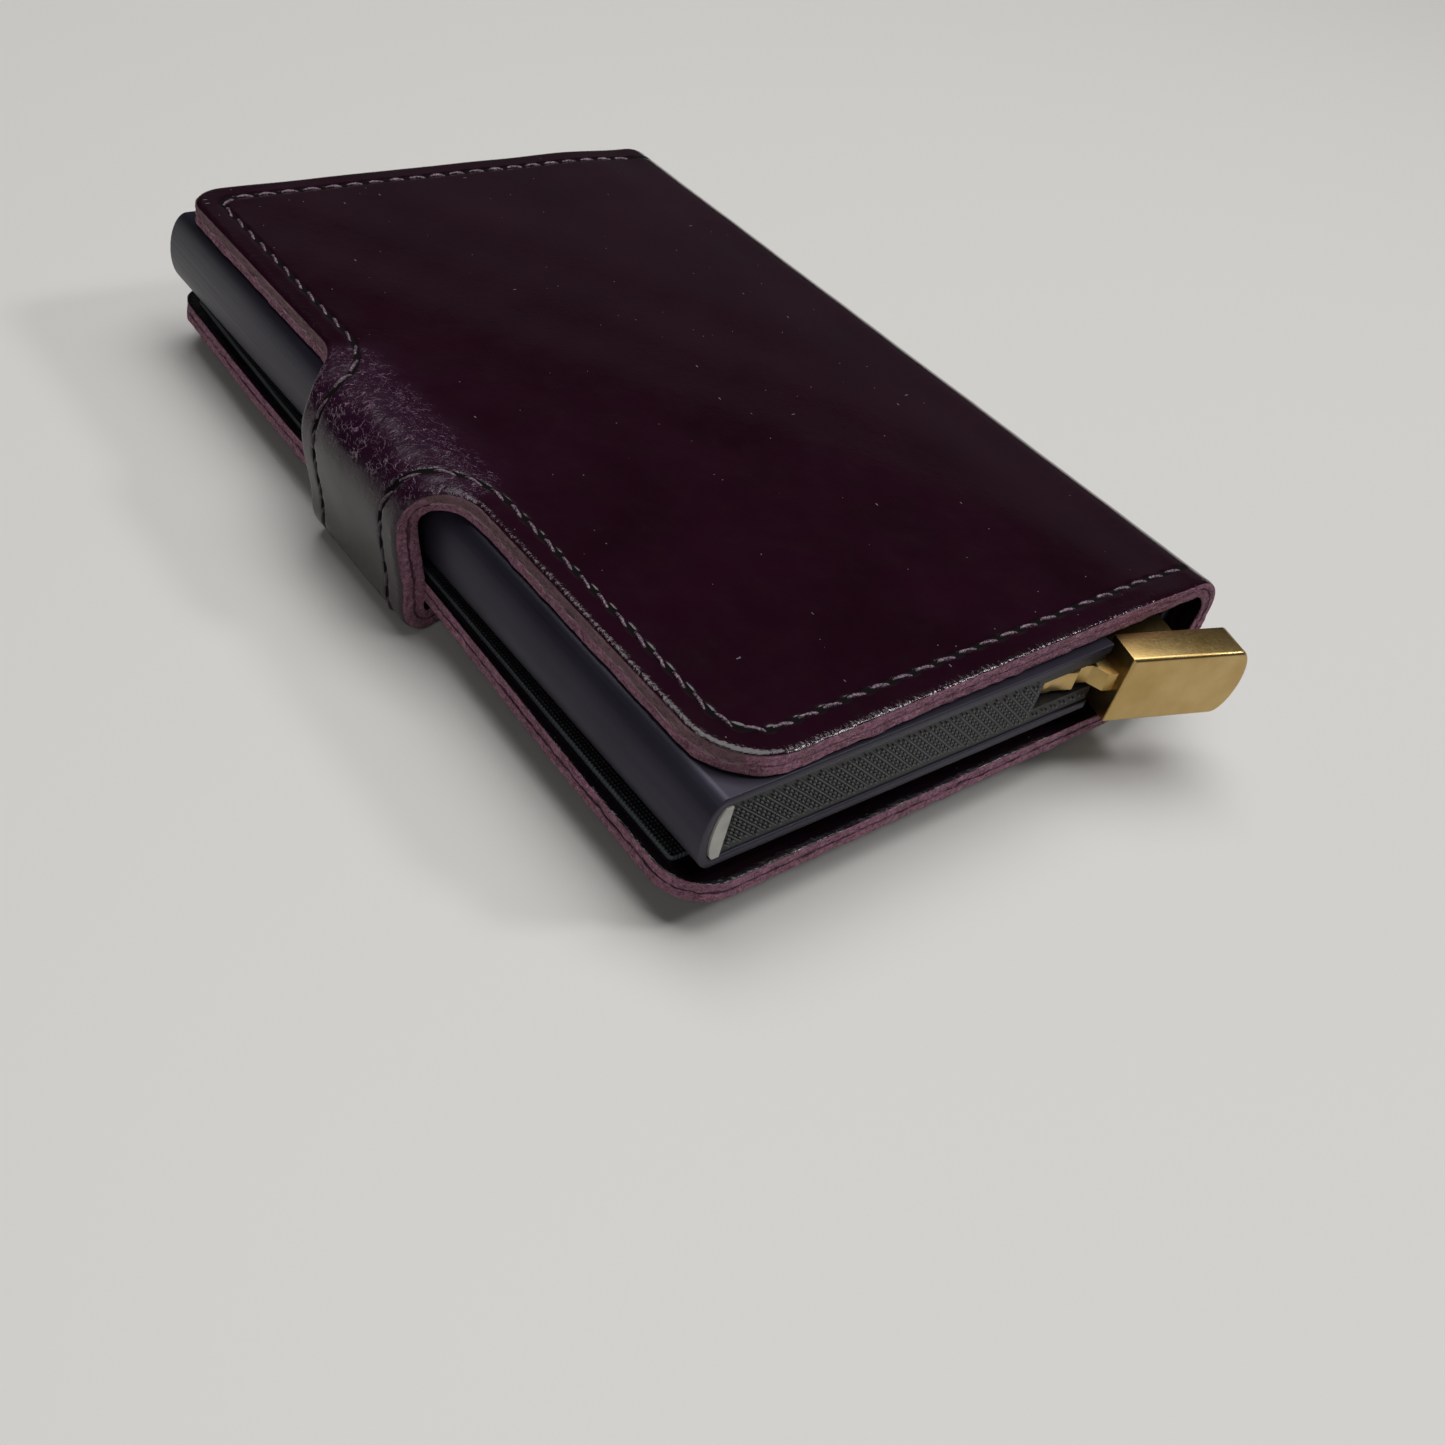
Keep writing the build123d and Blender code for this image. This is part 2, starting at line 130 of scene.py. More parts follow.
class FoldPath:
    """Route of the glue line in the XZ plane, from the strap's tip to the front cover's edge."""

    SAMPLE = 0.05

    def __init__(self):
        spine_radius = fold_radius(SPINE_HIGH[0], hinge_mm("spine_fold")[0])
        upper_radius = fold_radius(STRAP_LOW[0], hinge_mm("strap_bend")[0])
        lower_radius = fold_radius(STRAP_LOW[0], hinge_mm("strap_peel")[0])
        self.spine_bend = spine_radius - LAYER
        self.upper_bend = upper_radius - LAYER
        self.lower_bend = lower_radius - LAYER
        self.tip_z = TIP_LOW[2] + LAYER
        self.top_z = PANEL_HIGH[2] - LAYER
        self.cover_z = COVER_LOW[2] + LAYER
        self.right_x = SPINE_HIGH[0] - spine_radius
        self.upper_x = STRAP_LOW[0] + upper_radius
        self.lower_x = STRAP_LOW[0] + lower_radius
        runs = [
            (TIP_HIGH[0] - self.lower_x, None),
            (self.lower_bend, "turn"),
            (self.top_z - self.upper_bend - self.tip_z - self.lower_bend, None),
            (self.upper_bend, "turn"),
            (self.right_x - self.upper_x, None),
            (self.spine_bend, "turn"),
            (self.top_z - self.cover_z - 2 * self.spine_bend, None),
            (self.spine_bend, "turn"),
            (self.right_x - COVER_LOW[0], None),
        ]
        self.walk(runs)

    def walk(self, runs):
        """Sample the route. Each run is a length to go straight, or a radius to turn clockwise round."""
        x, z, heading, u = TIP_HIGH[0], self.tip_z, math.pi, 0.0
        rows = [(u, x, z, heading)]
        self.starts = [0.0]
        for size, turn in runs:
            length = size * math.pi / 2 if turn else size
            count = math.ceil(length / self.SAMPLE)
            for _ in range(count):
                middle = heading - (math.pi / 4 / count if turn else 0)
                x += math.cos(middle) * length / count
                z += math.sin(middle) * length / count
                heading -= math.pi / 2 / count if turn else 0
                u += length / count
                rows.append((u, x, z, heading))
            self.starts.append(u)
        self.table = np.array(rows)

    def to_frame(self, flat):
        """Flat (u, y, t) points to (x, y, z) points, in millimetres."""
        flat = np.asarray(flat, float)
        u, x, z, heading = self.table.T
        at = flat[:, 0]
        place = np.interp(at, u, x), np.interp(at, u, z)
        angle = np.interp(at, u, heading)
        beyond = at - np.clip(at, u[0], u[-1])
        out_x = place[0] + beyond * np.cos(angle) - flat[:, 2] * np.sin(angle)
        out_z = place[1] + beyond * np.sin(angle) + flat[:, 2] * np.cos(angle)
        return np.column_stack([out_x, flat[:, 1], out_z])


PATH = FoldPath()
(TIP_U, LOWER_BEND_U, SIDE_U, UPPER_BEND_U, PANEL_U, TOP_FOLD_U, SPINE_U, BOTTOM_FOLD_U,
 COVER_U, COVER_END_U) = PATH.starts
PANEL_LEFT_U = PANEL_U + PANEL_LEFT_X - PATH.upper_x
SIDE_MIDDLE_U = (SIDE_U + UPPER_BEND_U) / 2
SPINE_MIDDLE_U = (SPINE_U + BOTTOM_FOLD_U) / 2
STRAP_LENGTH = UPPER_BEND_U - SIDE_U

# Where used leather has settled, in millimetres
STRAP_SWELL = 0.2
STRAP_DRIFT = 1.15
STRAP_SKEW = 1.0
STRAP_SAG = 0.4
BOW_DEPTH = 4.3
BOW_LENGTH = 17.0
BOW_MIDDLE_Y = STRAP_LOW[1] + 4
BOW_INWARD = 0.6
BOW_UPWARD = 0.8
COVER_TAPER = 1.7
SPINE_THINNING = 0.4
SPINE_THINNING_REACH = 4.0
CREASE_REACH_DOWN, CREASE_REACH_OVER = 2.9, 3.6
CREASE_END = PANEL_U + 14
CREASE_FADE = 2.5


# ------ flat outline

class Outline:
    """A closed outline, anticlockwise, with rounded corners and evenly spaced samples.

    corners are (u, y, radius, name). A corner of radius 0 is a point to pass through.
    places holds the samples and inward the unit normals into the sheet.
    """

    def __init__(self, corners, step):
        self.step = step
        self.marks = {}
        self.places, self.inward = [], []
        rounded = [self.round_corner(corners, i) for i in range(len(corners))]
        for i, arc in enumerate(rounded):
            self.add_arc(arc, corners[i])
            self.add_run(arc[2], rounded[(i + 1) % len(rounded)][1])
        self.places = np.array(self.places)
        self.inward = np.array(self.inward)

    @staticmethod
    def round_corner(corners, i):
        """Centre, first and last point of the arc at corner i, and the turn there."""
        here = np.array(corners[i][:2], float)
        back = np.array(corners[i - 1][:2], float) - here
        ahead = np.array(corners[(i + 1) % len(corners)][:2], float) - here
        back /= norm(back)
        ahead /= norm(ahead)
        turn = math.atan2(-back[0] * ahead[1] + back[1] * ahead[0], -back @ ahead)
        radius = corners[i][2]
        if not radius:
            return None, here, here, turn
        tangent = radius * math.tan(abs(turn) / 2)
        middle = (back + ahead) / norm(back + ahead)
        centre = here + middle * radius / math.cos(turn / 2)
        return centre, here + back * tangent, here + ahead * tangent, turn

    def add_arc(self, arc, corner):
        centre, first, last, turn = arc
        self.marks[corner[3] + "_start"] = len(self.places)
        if centre is None:
            self.places.append(first)
            self.inward.append(None)
        else:
            count = max(3, math.ceil(corner[2] * abs(turn) / self.step))
            spoke = first - centre
            for k in range(count + 1):
                angle = turn * k / count
                turned = np.array([spoke[0] * math.cos(angle) - spoke[1] * math.sin(angle),
                                   spoke[0] * math.sin(angle) + spoke[1] * math.cos(angle)])
                self.places.append(centre + turned)
                self.inward.append(-turned / corner[2] * math.copysign(1, turn))
        self.marks[corner[3]] = len(self.places) - 1

    def add_run(self, first, last):
        along = last - first
        length = norm(along)
        normal = np.array([-along[1], along[0]]) / length
        if self.inward[-1] is None:
            self.inward[-1] = normal
        count = max(1, round(length / self.step))
        for k in range(1, count):
            self.places.append(first + along * k / count)
            self.inward.append(normal)

    def ring(self, inset):
        return self.places + self.inward * inset

    def lengths(self, inset):
        """Distance along the ring at each sample, and the whole way round."""
        ring = self.ring(inset)
        steps = norm(np.roll(ring, -1, axis=0) - ring, axis=1)
        return np.concatenate([[0], np.cumsum(steps)[:-1]]), steps.sum()


def leather_outline():
    """The cover's cut shape: strap, back panel, spine and front cover in one piece."""
    strap_near, strap_far = STRAP_LOW[1], STRAP_HIGH[1]
    panel_near, panel_far = SPINE_LOW[1], SPINE_HIGH[1]
    ease = STEP_EASING_RADIUS
    step_start, step_end = SPINE_MIDDLE_U + STEP_START, COVER_U + STEP_END
    spine_near = panel_near + SPINE_SHORTFALL
    return Outline([
        (TIP_U, strap_near, TIP_CORNER_RADIUS, "tip_near"),
        (SIDE_MIDDLE_U, strap_near, 0, "strap_seam_near"),
        (PANEL_LEFT_U, strap_near, FLARE_RADIUS, "flare_near"),
        (PANEL_LEFT_U, panel_near - CORNER_EXTRA, NEAR_CORNER_RADIUS, "panel_near"),
        (SPINE_MIDDLE_U, spine_near, 0, "spine_seam_near"),
        (step_start, spine_near, ease, "step_near"),
        (step_end, COVER_LOW[1] + SPINE_SHORTFALL, ease, "step_end_near"),
        (COVER_END_U, COVER_LOW[1], COVER_CORNER_RADIUS, "cover_near"),
        (COVER_END_U, COVER_HIGH[1], FAR_CORNER_RADIUS, "cover_far"),
        (step_end, COVER_HIGH[1], ease, "step_end_far"),
        (step_start, panel_far, ease, "step_far"),
        (SPINE_MIDDLE_U, panel_far, 0, "spine_seam_far"),
        (PANEL_LEFT_U, panel_far, FAR_CORNER_RADIUS, "panel_far"),
        (PANEL_LEFT_U, strap_far, FLARE_RADIUS, "flare_far"),
        (SIDE_MIDDLE_U, strap_far, 0, "strap_seam_far"),
        (TIP_U, strap_far, TIP_CORNER_RADIUS, "tip_far"),
    ], step=0.45)


OUTLINE = leather_outline()
STITCH_PLACE, STITCH_LENGTH = OUTLINE.lengths(STITCH_INSET)
STITCH_COUNT = round(STITCH_LENGTH / STITCH_PITCH)
STITCH_STEP = STITCH_LENGTH / STITCH_COUNT


# ------ relief of the leather faces

def bump(value, width):
    return np.exp(-(value / width) ** 2 / 2)


def settled(flat):
    """Flat places to the frame, as used leather lies: the strap sweeps round in one soft curve that
    sags towards its lower bend, and the cover's edge bows up to the case beside the strap."""
    flat = np.array(flat, float)
    u, y = flat[:, 0], flat[:, 1]
    flat[:, 2] *= 1 + STRAP_SWELL * bump(u - SIDE_MIDDLE_U, STRAP_LENGTH / 2)
    thinning = SPINE_THINNING * bump(u - TOP_FOLD_U, SPINE_THINNING_REACH)
    flat[:, 2] *= 1 - np.where(flat[:, 2] > 0, thinning, 0)
    places = PATH.to_frame(flat)
    places[:, 0] += STRAP_DRIFT * bump(u - SIDE_U, STRAP_LENGTH / 2)
    places[:, 1] -= STRAP_SKEW * bump(u - SIDE_U, STRAP_LENGTH / 2)
    places[:, 2] -= STRAP_SAG * bump(u - LOWER_BEND_U, STRAP_LENGTH / 3)
    from_hinge = (u - COVER_END_U + BOW_DEPTH) / BOW_DEPTH
    bow = np.clip(from_hinge, 0, None) ** 2 * bump(y - BOW_MIDDLE_Y, BOW_LENGTH)
    beyond_strap = np.clip((y - STRAP_HIGH[1]) / (COVER_HIGH[1] - STRAP_HIGH[1]), 0, 1)
    across_cover = np.clip((u - COVER_U) / (COVER_END_U - COVER_U), 0, 1)
    places[:, 0] += BOW_INWARD * bow + COVER_TAPER * beyond_strap * across_cover
    places[:, 2] += BOW_UPWARD * bow
    return places


def is_stitched(u):
    """Thread runs round the back panel and the strap, and round the front cover, not on the spine."""
    return (u < TOP_FOLD_U + SEAM_PAST_TOP_FOLD) | (u > COVER_U + SEAM_PAST_COVER_FOLD)


def from_needle_hole(place):
    """Distance along the seam from the nearest needle hole."""
    return (place + STITCH_STEP / 2) % STITCH_STEP - STITCH_STEP / 2


def seam_shade(inset, u, place):
    """Painted shade for the seam: 1 in the needle holes and somewhat less along the groove between them.
    """
    along = 0.45 + 0.55 * bump(from_needle_hole(place), 0.45)
    return np.where(is_stitched(u), bump(inset - STITCH_INSET, 0.28) * along, 0)


def stitch_relief(inset, u, place):
    """Height of the surface near the seam: a shallow groove, deeper at the needle holes."""
    across = inset - STITCH_INSET
    groove = GROOVE_DEPTH * bump(across, GROOVE_WIDTH)
    hole = HOLE_DEPTH * bump(across, HOLE_WIDTH) * bump(from_needle_hole(place), HOLE_LENGTH)
    return np.where(is_stitched(u), -groove - hole, 0)


def waviness(flat):
    """Slow unevenness of hand-cut leather, up to a few hundredths of a millimetre."""
    u, y = flat[:, 0], flat[:, 1]
    return (0.035 * np.sin(0.21 * u + 1.3) * np.sin(0.17 * y + 0.4)
            + 0.02 * np.sin(0.47 * u + 0.31 * y + 2.1)
            + 0.012 * np.sin(0.9 * y - 0.6 * u + 0.7))


def crease_strength(flat):
    """1 where the strap bends over the case's edge, fading out over the panel and down the side."""
    u, y = flat[:, 0], flat[:, 1]
    middle = (STRAP_LOW[1] + STRAP_HIGH[1]) / 2
    from_bend = u - (UPPER_BEND_U + PANEL_U) / 2 - 1.5
    reach = np.where(from_bend < 0, CREASE_REACH_DOWN, CREASE_REACH_OVER)
    width = (STRAP_HIGH[1] - STRAP_LOW[1]) / 2 + CREASE_FADE
    beside = np.clip((np.abs(y - middle) - width) / CREASE_FADE, 0, 1)
    return bump(from_bend, reach) * (1 - beside) * (u < CREASE_END)


def wrinkles(flat):
    """Low rounded folds across the strap's bend, longer along it than across it."""
    strength = crease_strength(flat)
    heights = np.zeros(len(flat))
    for i in np.nonzero(strength > 0.03)[0]:
        u, y = flat[i, :2]
        fine = noise.noise(Vector((u * 0.75, y * 0.42, 3.0)))
        broad = noise.noise(Vector((u * 0.35, y * 0.16, 8.0)))
        heights[i] = 0.12 * fine + 0.16 * broad
    return heights * strength


# ------ meshes

def add_object(name, data):
    made = bpy.data.objects.new(name, data)
    scene.collection.objects.link(made)
    return made


def make_object(name, vertices, faces, materials, face_materials=None, smooth=True):
    mesh = bpy.data.meshes.new(name)
    mesh.from_pydata((np.asarray(vertices) * MM).tolist(), [], [list(map(int, f)) for f in faces])
    for material in materials:
        mesh.materials.append(material)
    if face_materials is not None:
        mesh.polygons.foreach_set("material_index", np.asarray(face_materials, np.int32))
    mesh.polygons.foreach_set("use_smooth", np.full(len(mesh.polygons), smooth))
    mesh.validate()
    return add_object(name, mesh)


def store(piece, name, values):
    """Keep a number or a vector at each vertex, for the materials to read."""
    values = np.asarray(values, np.float32)
    kind, key = ("FLOAT_VECTOR", "vector") if values.ndim == 2 else ("FLOAT", "value")
    piece.data.attributes.new(name, kind, "POINT").data.foreach_set(key, values.ravel())


def sharpen(piece, degrees):
    """Split the shading at edges sharper than the angle."""
    piece.data.set_sharp_from_angle(angle=math.radians(degrees))


def ring_faces(rows, count):
    """Four-sided faces between closed rings of vertices that follow one another."""
    faces = []
    for first in range(0, (rows - 1) * count, count):
        for j in range(count):
            a, b = first + j, first + (j + 1) % count
            faces.append((a, b, b + count, a + count))
    return faces


# ------ sheet of leather

BAND_WIDTH = 3.9
FACE_INSETS = [3.9, 3.65, 3.45, 3.25, 3.0, 2.8, 2.6, 2.4, 2.15, 1.9, 1.6, 1.3, 1.05, 0.85, 0.65,
               0.47, 0.3, 0.16, 0.06]
WALL_LEVELS = [0.8, 0.6, 0.4, 0.22, 0.06]
GLUE_INSETS = [0.1, 1.4, 3.9]
GLUE_LEVEL = 0.01


def face_level(inset, side):
    """Height of the face over the glue line; it rounds off towards the cut edge."""
    share = np.clip(1 - inset / SHOULDER_WIDTH, 0, 1)
    return LAYER + FACE_RISE[side] - EDGE_DROP[side] * share ** 2.6


def interior_levels():
    """u values for the sheet's inner points: close together in the bends, wider elsewhere."""
    steps = [(TIP_U, 1.6), (LOWER_BEND_U, 0.45), (SIDE_U, 0.9), (SIDE_MIDDLE_U, 0.7),
             (UPPER_BEND_U, 0.4), (PANEL_U + 4.4, 0.9), (PANEL_U + 10, 1.8), (TOP_FOLD_U, 0.3),
             (SPINE_U, 1.2), (BOTTOM_FOLD_U, 0.3), (COVER_U, 1.8), (COVER_END_U, 0)]
    levels = []
    for (low, step), (high, _) in zip(steps, steps[1:]):
        levels += list(np.linspace(low, high, max(1, round((high - low) / step)), endpoint=False))
    return levels


def inner_grid():
    """Staggered points over the sheet's box, finer where the strap creases."""
    grid = []
    for row, u in enumerate(interior_levels()):
        step = 0.55 if UPPER_BEND_U - 1 < u < PANEL_U + 6 else 1.5
        low, high = (STRAP_LOW, STRAP_HIGH) if u < PANEL_U - 3 else (COVER_LOW, COVER_HIGH)
        grid += [(u, y) for y in np.arange(low[1] + (row % 2) * step / 2, high[1], step)]
    return np.array(grid)


def seam_points(first, last, spacing=1.5):
    """Points between two ring samples, along the seam where the sheet is divided."""
    count = max(2, round(norm(last - first) / spacing))
    return [first + (last - first) * k / count for k in range(1, count)]


def inner_distance(points, ring):
    """Distance from each point to the ring's samples."""
    return np.array([np.min(np.hypot(*(ring - p).T)) for p in points])


def triangulate_interior():
    """Points and triangles inside the band, with the seams kept as edges."""
    ring = OUTLINE.ring(BAND_WIDTH)
    count = len(ring)
    points = [Vector(p) for p in ring]
    edges = [(i, (i + 1) % count) for i in range(count)]
    seam_places = []
    for low, high in (("strap_seam_near", "strap_seam_far"), ("flare_near", "flare_far_start"),
                      ("spine_seam_near", "spine_seam_far")):
        first, last = OUTLINE.marks[low], OUTLINE.marks[high]
        chain = seam_points(ring[first], ring[last])
        numbers = list(range(len(points), len(points) + len(chain)))
        points += [Vector(p) for p in chain]
        seam_places += chain
        links = [first, *numbers, last]
        edges += list(zip(links, links[1:]))
    grid = inner_grid()
    grid = grid[inside(grid, ring)]
    clear = (inner_distance(grid, ring) > 0.4) & (inner_distance(grid, np.array(seam_places)) > 0.35)
    points += [Vector(p) for p in grid[clear]]
    found, _, triangles, *_ = delaunay_2d_cdt(points, edges, [list(range(count))], 1, 1e-6)
    if len(found) != len(points):
        raise RuntimeError("the flat sheet's points changed while they were joined")
    return np.array([tuple(p) for p in found]), [tuple(t) for t in triangles]


def inside(points, ring):
    """Whether each point lies inside the closed ring."""
    x, y = points[:, 0], points[:, 1]
    hit = np.zeros(len(points), bool)
    for (x0, y0), (x1, y1) in zip(ring, np.roll(ring, -1, axis=0)):
        if y0 == y1:
            continue
        crosses = (y0 > y) != (y1 > y)
        hit ^= crosses & (x < (x1 - x0) * (y - y0) / (y1 - y0) + x0)
    return hit


def layer_rings(side):
    """(inset, t, kind) for each ring from the face, over the cut edge, to the glue line."""
    rings = [(d, face_level(d, side), "face") for d in FACE_INSETS]
    edge_top = face_level(0, side) - 0.03
    rings += [(0.0, edge_top * level / WALL_LEVELS[0], "edge") for level in WALL_LEVELS]
    rings += [(d, GLUE_LEVEL, "glue") for d in GLUE_INSETS]
    return rings


def fibre_offset(count, row, rng):
    """Small outward steps of the cut edge's fibres."""
    rough = rng.normal(0, 1, count)
    smooth = (rough + np.roll(rough, 1) + np.roll(rough, -1)) / 3
    return 0.085 * smooth + 0.02 * math.sin(1.7 * row)


def build_band(side, rings):
    """The rings round the sheet: rows of (u, y, t, inset, seam shade), and faces between them."""
    rng = np.random.default_rng(7 + side)
    count = len(OUTLINE.places)
    rows = []
    for number, (inset, level, kind) in enumerate(rings):
        shift = np.full(count, inset)
        if kind == "edge":
            shift -= fibre_offset(count, number, rng)
        places = OUTLINE.places + OUTLINE.inward * shift[:, None]
        height, seam = np.full(count, level), np.zeros(count)
        if kind == "face":
            height += stitch_relief(inset, places[:, 0], STITCH_PLACE)
            seam = seam_shade(inset, places[:, 0], STITCH_PLACE)
        rows.append(np.column_stack([places, height * side, np.full(count, inset), seam]))
    return np.vstack(rows), [(a, d, c, b) for a, b, c, d in ring_faces(len(rings), count)]


def inner_sheet(points, level):
    """Rows like the band's for the points inside it."""
    count = len(points)
    return np.column_stack([points, np.full(count, level), np.full(count, BAND_WIDTH), np.zeros(count)])


def build_layer(side):
    """One leather layer, the outside one if side is 1: rows of (u, y, t, inset, seam shade), faces,
    and whether each face is polished."""
    rings = layer_rings(side)
    count = len(OUTLINE.places)
    band, faces = build_band(side, rings)
    is_face = [kind == "face" for _, _, kind in rings]
    polished = list(np.repeat(is_face[1:], count))
    points, triangles = triangulate_interior()
    inner = points[count:]
    upper, lower, last_ring = len(band), len(band) + len(inner), len(band) - count
    for corners in triangles:
        faces.append(tuple(i if i < count else upper + i - count for i in corners))
        faces.append(tuple(last_ring + i if i < count else lower + i - count for i in corners[::-1]))
        polished += [True, False]
    face_height = face_level(BAND_WIDTH, side) * side
    flat = np.vstack([band, inner_sheet(inner, face_height), inner_sheet(inner, GLUE_LEVEL * side)])
    on_face = np.repeat([*np.repeat(is_face, count), True, False], [1] * len(band) + [len(inner)] * 2)
    uneven = waviness(flat)
    uneven[on_face] += wrinkles(flat[on_face]) * (1 if side > 0 else 0.4)
    flat[:, 2] += np.where(on_face, uneven * side, 0)
    if side < 0:
        faces = [face[::-1] for face in faces]
    return flat, faces, np.array(polished)


def region_of(u, y):
    """Which of the four folding regions a flat place is in."""
    low, high = (OUTLINE.places[OUTLINE.marks[mark]][1] for mark in ("flare_near", "flare_far_start"))
    if u > SPINE_MIDDLE_U:
        return "front_cover"
    if u < SIDE_MIDDLE_U:
        return "strap_tip"
    if u < PANEL_LEFT_U + BAND_WIDTH and low < y < high:
        return "strap_root"
    return "back_panel"


BENDS = {
    "front_cover": ("spine", "front_cover", BOTTOM_FOLD_U, COVER_U),
    "strap_tip": ("strap_side", "strap_tip", SIDE_U, LOWER_BEND_U),
    "strap_root": ("case", "strap_side", PANEL_U, UPPER_BEND_U),
    "back_panel": ("case", "spine", TOP_FOLD_U, SPINE_U),
}
# What a region stands for in the frame, where the names differ
STANDS_FOR = {"strap_root": ["strap_side"], "back_panel": ["back_panel", "spine"]}


def bend(piece):
    """Bake a piece's transform into its mesh."""
    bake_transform(piece)


def cut_out(flat, faces):
    """The given faces with only the vertices that they use."""
    used = np.unique(np.concatenate([np.array(f) for f in faces]))
    renumber = np.full(len(flat), -1)
    renumber[used] = np.arange(len(used))
    return flat[used], [tuple(renumber[list(f)]) for f in faces]


def face_slots(part, faces, polished):
    """Each face's material: 0 on the polished face, 1 on the cut edge, 2 for painted shade in the stitch
    groove.
    """
    seam = np.array([part[list(f), 4].mean() for f in faces])
    return np.where(polished, np.where(seam > 0.38, 2, 0), 1)


def make_leather_layer(side, materials):
    """One bonded layer, divided where one fold's region meets the next."""
    flat, faces, polished = build_layer(side)
    middles = np.array([flat[list(f), :2].mean(axis=0) for f in faces])
    regions = np.array([region_of(u, y) for u, y in middles])
    name = "outer" if side > 0 else "lining"
    for region in BENDS:
        chosen = np.nonzero(regions == region)[0]
        part, part_faces = cut_out(flat, [faces[i] for i in chosen])
        piece = make_object(f"leather_{region}_{name}", settled(part[:, :3]), part_faces, materials,
                            face_slots(part, part_faces, polished[chosen]))
        store(piece, "flat_mm", part[:, :3])
        store(piece, "inset_mm", part[:, 3])
        # The seam value is painted shade for the stitch groove and needle holes
        store(piece, "seam", part[:, 4])
        store(piece, "crease", crease_strength(part))
        bend(piece)
        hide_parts(*(f"{stem}_{name}" for stem in STANDS_FOR.get(region, [region])))


# ------ thread

def stitch_mesh(first, last, side, level, rng):
    """One stitch between two needle holes: a twisted thread that rises out of them and lies flat."""
    around, rows = 9, 12
    along = last - first
    length = norm(along)
    along = along / length
    across = np.array([-along[1], along[0]])
    slant = STITCH_SLANT * side
    points = []
    twist = rng.uniform(0, math.tau)
    for row in range(rows + 1):
        share = row / rows
        rise = math.sin(math.pi * share) ** 0.5
        centre = first + along * length * (0.1 + 0.8 * share) + across * slant * (1 - 2 * share)
        height = level - THREAD_SINK + THREAD_RISE * rise
        for k in range(around):
            angle = math.tau * k / around
            ply = 1 + PLY_RELIEF * math.cos(THREAD_PLIES * angle - PLY_TWIST * share - twist)
            radius = THREAD_RADIUS * ply * (0.75 + 0.25 * rise)
            place = centre + across * radius * math.cos(angle)
            points.append((place[0], place[1], side * (height + radius * math.sin(angle))))
    faces = ring_faces(rows + 1, around)
    faces.append(tuple(reversed(range(around))))
    faces.append(tuple(range(rows * around, (rows + 1) * around)))
    if side < 0:
        faces = [face[::-1] for face in faces]
    return points, faces


def stitch_ends():
    """Needle holes along the seam, as flat (u, y) places."""
    ring = OUTLINE.ring(STITCH_INSET)
    ring = np.vstack([ring, ring[:1]])
    stops = np.arange(STITCH_COUNT + 1) * STITCH_STEP
    closed = np.append(STITCH_PLACE, STITCH_LENGTH)
    return np.column_stack([np.interp(stops, closed, ring[:, axis]) for axis in (0, 1)])


def make_stitching(side, material):
    """All the stitches on one side of the leather, as one piece for each folding region."""
    rng = np.random.default_rng(21 + side)
    holes = stitch_ends()
    groups = {}
    for first, last in zip(holes, holes[1:]):
        middle = (first + last) / 2
        hidden = side < 0 and (PANEL_LEFT_U - 1 < middle[0] < SPINE_U or on_textile(middle))
        if hidden or not (is_stitched(first[0]) and is_stitched(last[0])):
            continue
        level = face_level(BAND_WIDTH, side)
        points, faces = stitch_mesh(first, last, side, level, rng)
        vertices, all_faces = groups.setdefault(region_of(*middle), ([], []))
        start = len(vertices)
        vertices += points
        all_faces += [tuple(start + i for i in f) for f in faces]
    name = "outside" if side > 0 else "inside"
    for region, (vertices, faces) in groups.items():
        piece = make_object(f"stitching_{region}_{name}", settled(vertices), faces, [material])
        store(piece, "flat_mm", vertices)
        bend(piece)


def on_textile(place):
    """Whether the textile pocket covers a flat place."""
    x = PATH.to_frame([(place[0], place[1], 0)])[0][0]
    return (place[0] > COVER_U and TEXTILE_LOW[0] < x < TEXTILE_HIGH[0]
            and TEXTILE_LOW[1] < place[1] < TEXTILE_HIGH[1])


# ------ pockets inside the cover


def pocket_plate(name, node, material, hem_width, hem_rise, corner):
    """A thin sewn sheet that fills a CAD pocket's box, with a turned hem all round."""
    low, high = box_mm(node)
    plan = Outline([(low[0], low[1], corner, "a"), (high[0], low[1], corner, "b"),
                    (high[0], high[1], corner, "c"), (low[0], high[1], corner, "d")], step=0.8)
    thick = high[2] - low[2]
    profile = [(0.0, 0.0), (0.0, thick * 0.55), (0.05, thick * 0.85), (0.15, thick),
               (hem_width - 0.1, thick), (hem_width, thick - hem_rise * 0.7),
               (hem_width + 0.12, thick - hem_rise)]
    count = len(plan.places)
    rows = [np.column_stack([plan.ring(inset), np.full(count, low[2] + level)])
            for inset, level in profile]
    faces = ring_faces(len(profile), count)
    faces.append(tuple(range((len(profile) - 1) * count, len(profile) * count)))
    faces.append(tuple(reversed(range(count))))
    places = np.vstack(rows)
    flat = np.column_stack([COVER_U + PATH.right_x - places[:, 0], places[:, 1], places[:, 2]])
    piece = make_object(name, places + settled(flat) - PATH.to_frame(flat), faces, [material])
    store(piece, "inset_mm", np.repeat([inset for inset, _ in profile], count))
    sharpen(piece, 50)
    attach(piece, "front_cover")
    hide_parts(node)
    return piece


# ------ end cap's knurling

LEVER_SLOT_LENGTH = 8.4
ARM_CLEARANCE = 2.5
LOWER_MARGIN = 0.45
KNURL_MARGIN = 0.2
KNURL_HEIGHT = 0.2
RIB_PITCH, RIB_WIDTH = 0.62, 0.4
RIDGE_PITCH, RIDGE_WIDTH = 1.12, 0.15
RIDGE_SLOPE = -0.88
KNURL_GAP = 0.18
CAP_LOW, CAP_HIGH = box_mm("end_cap")


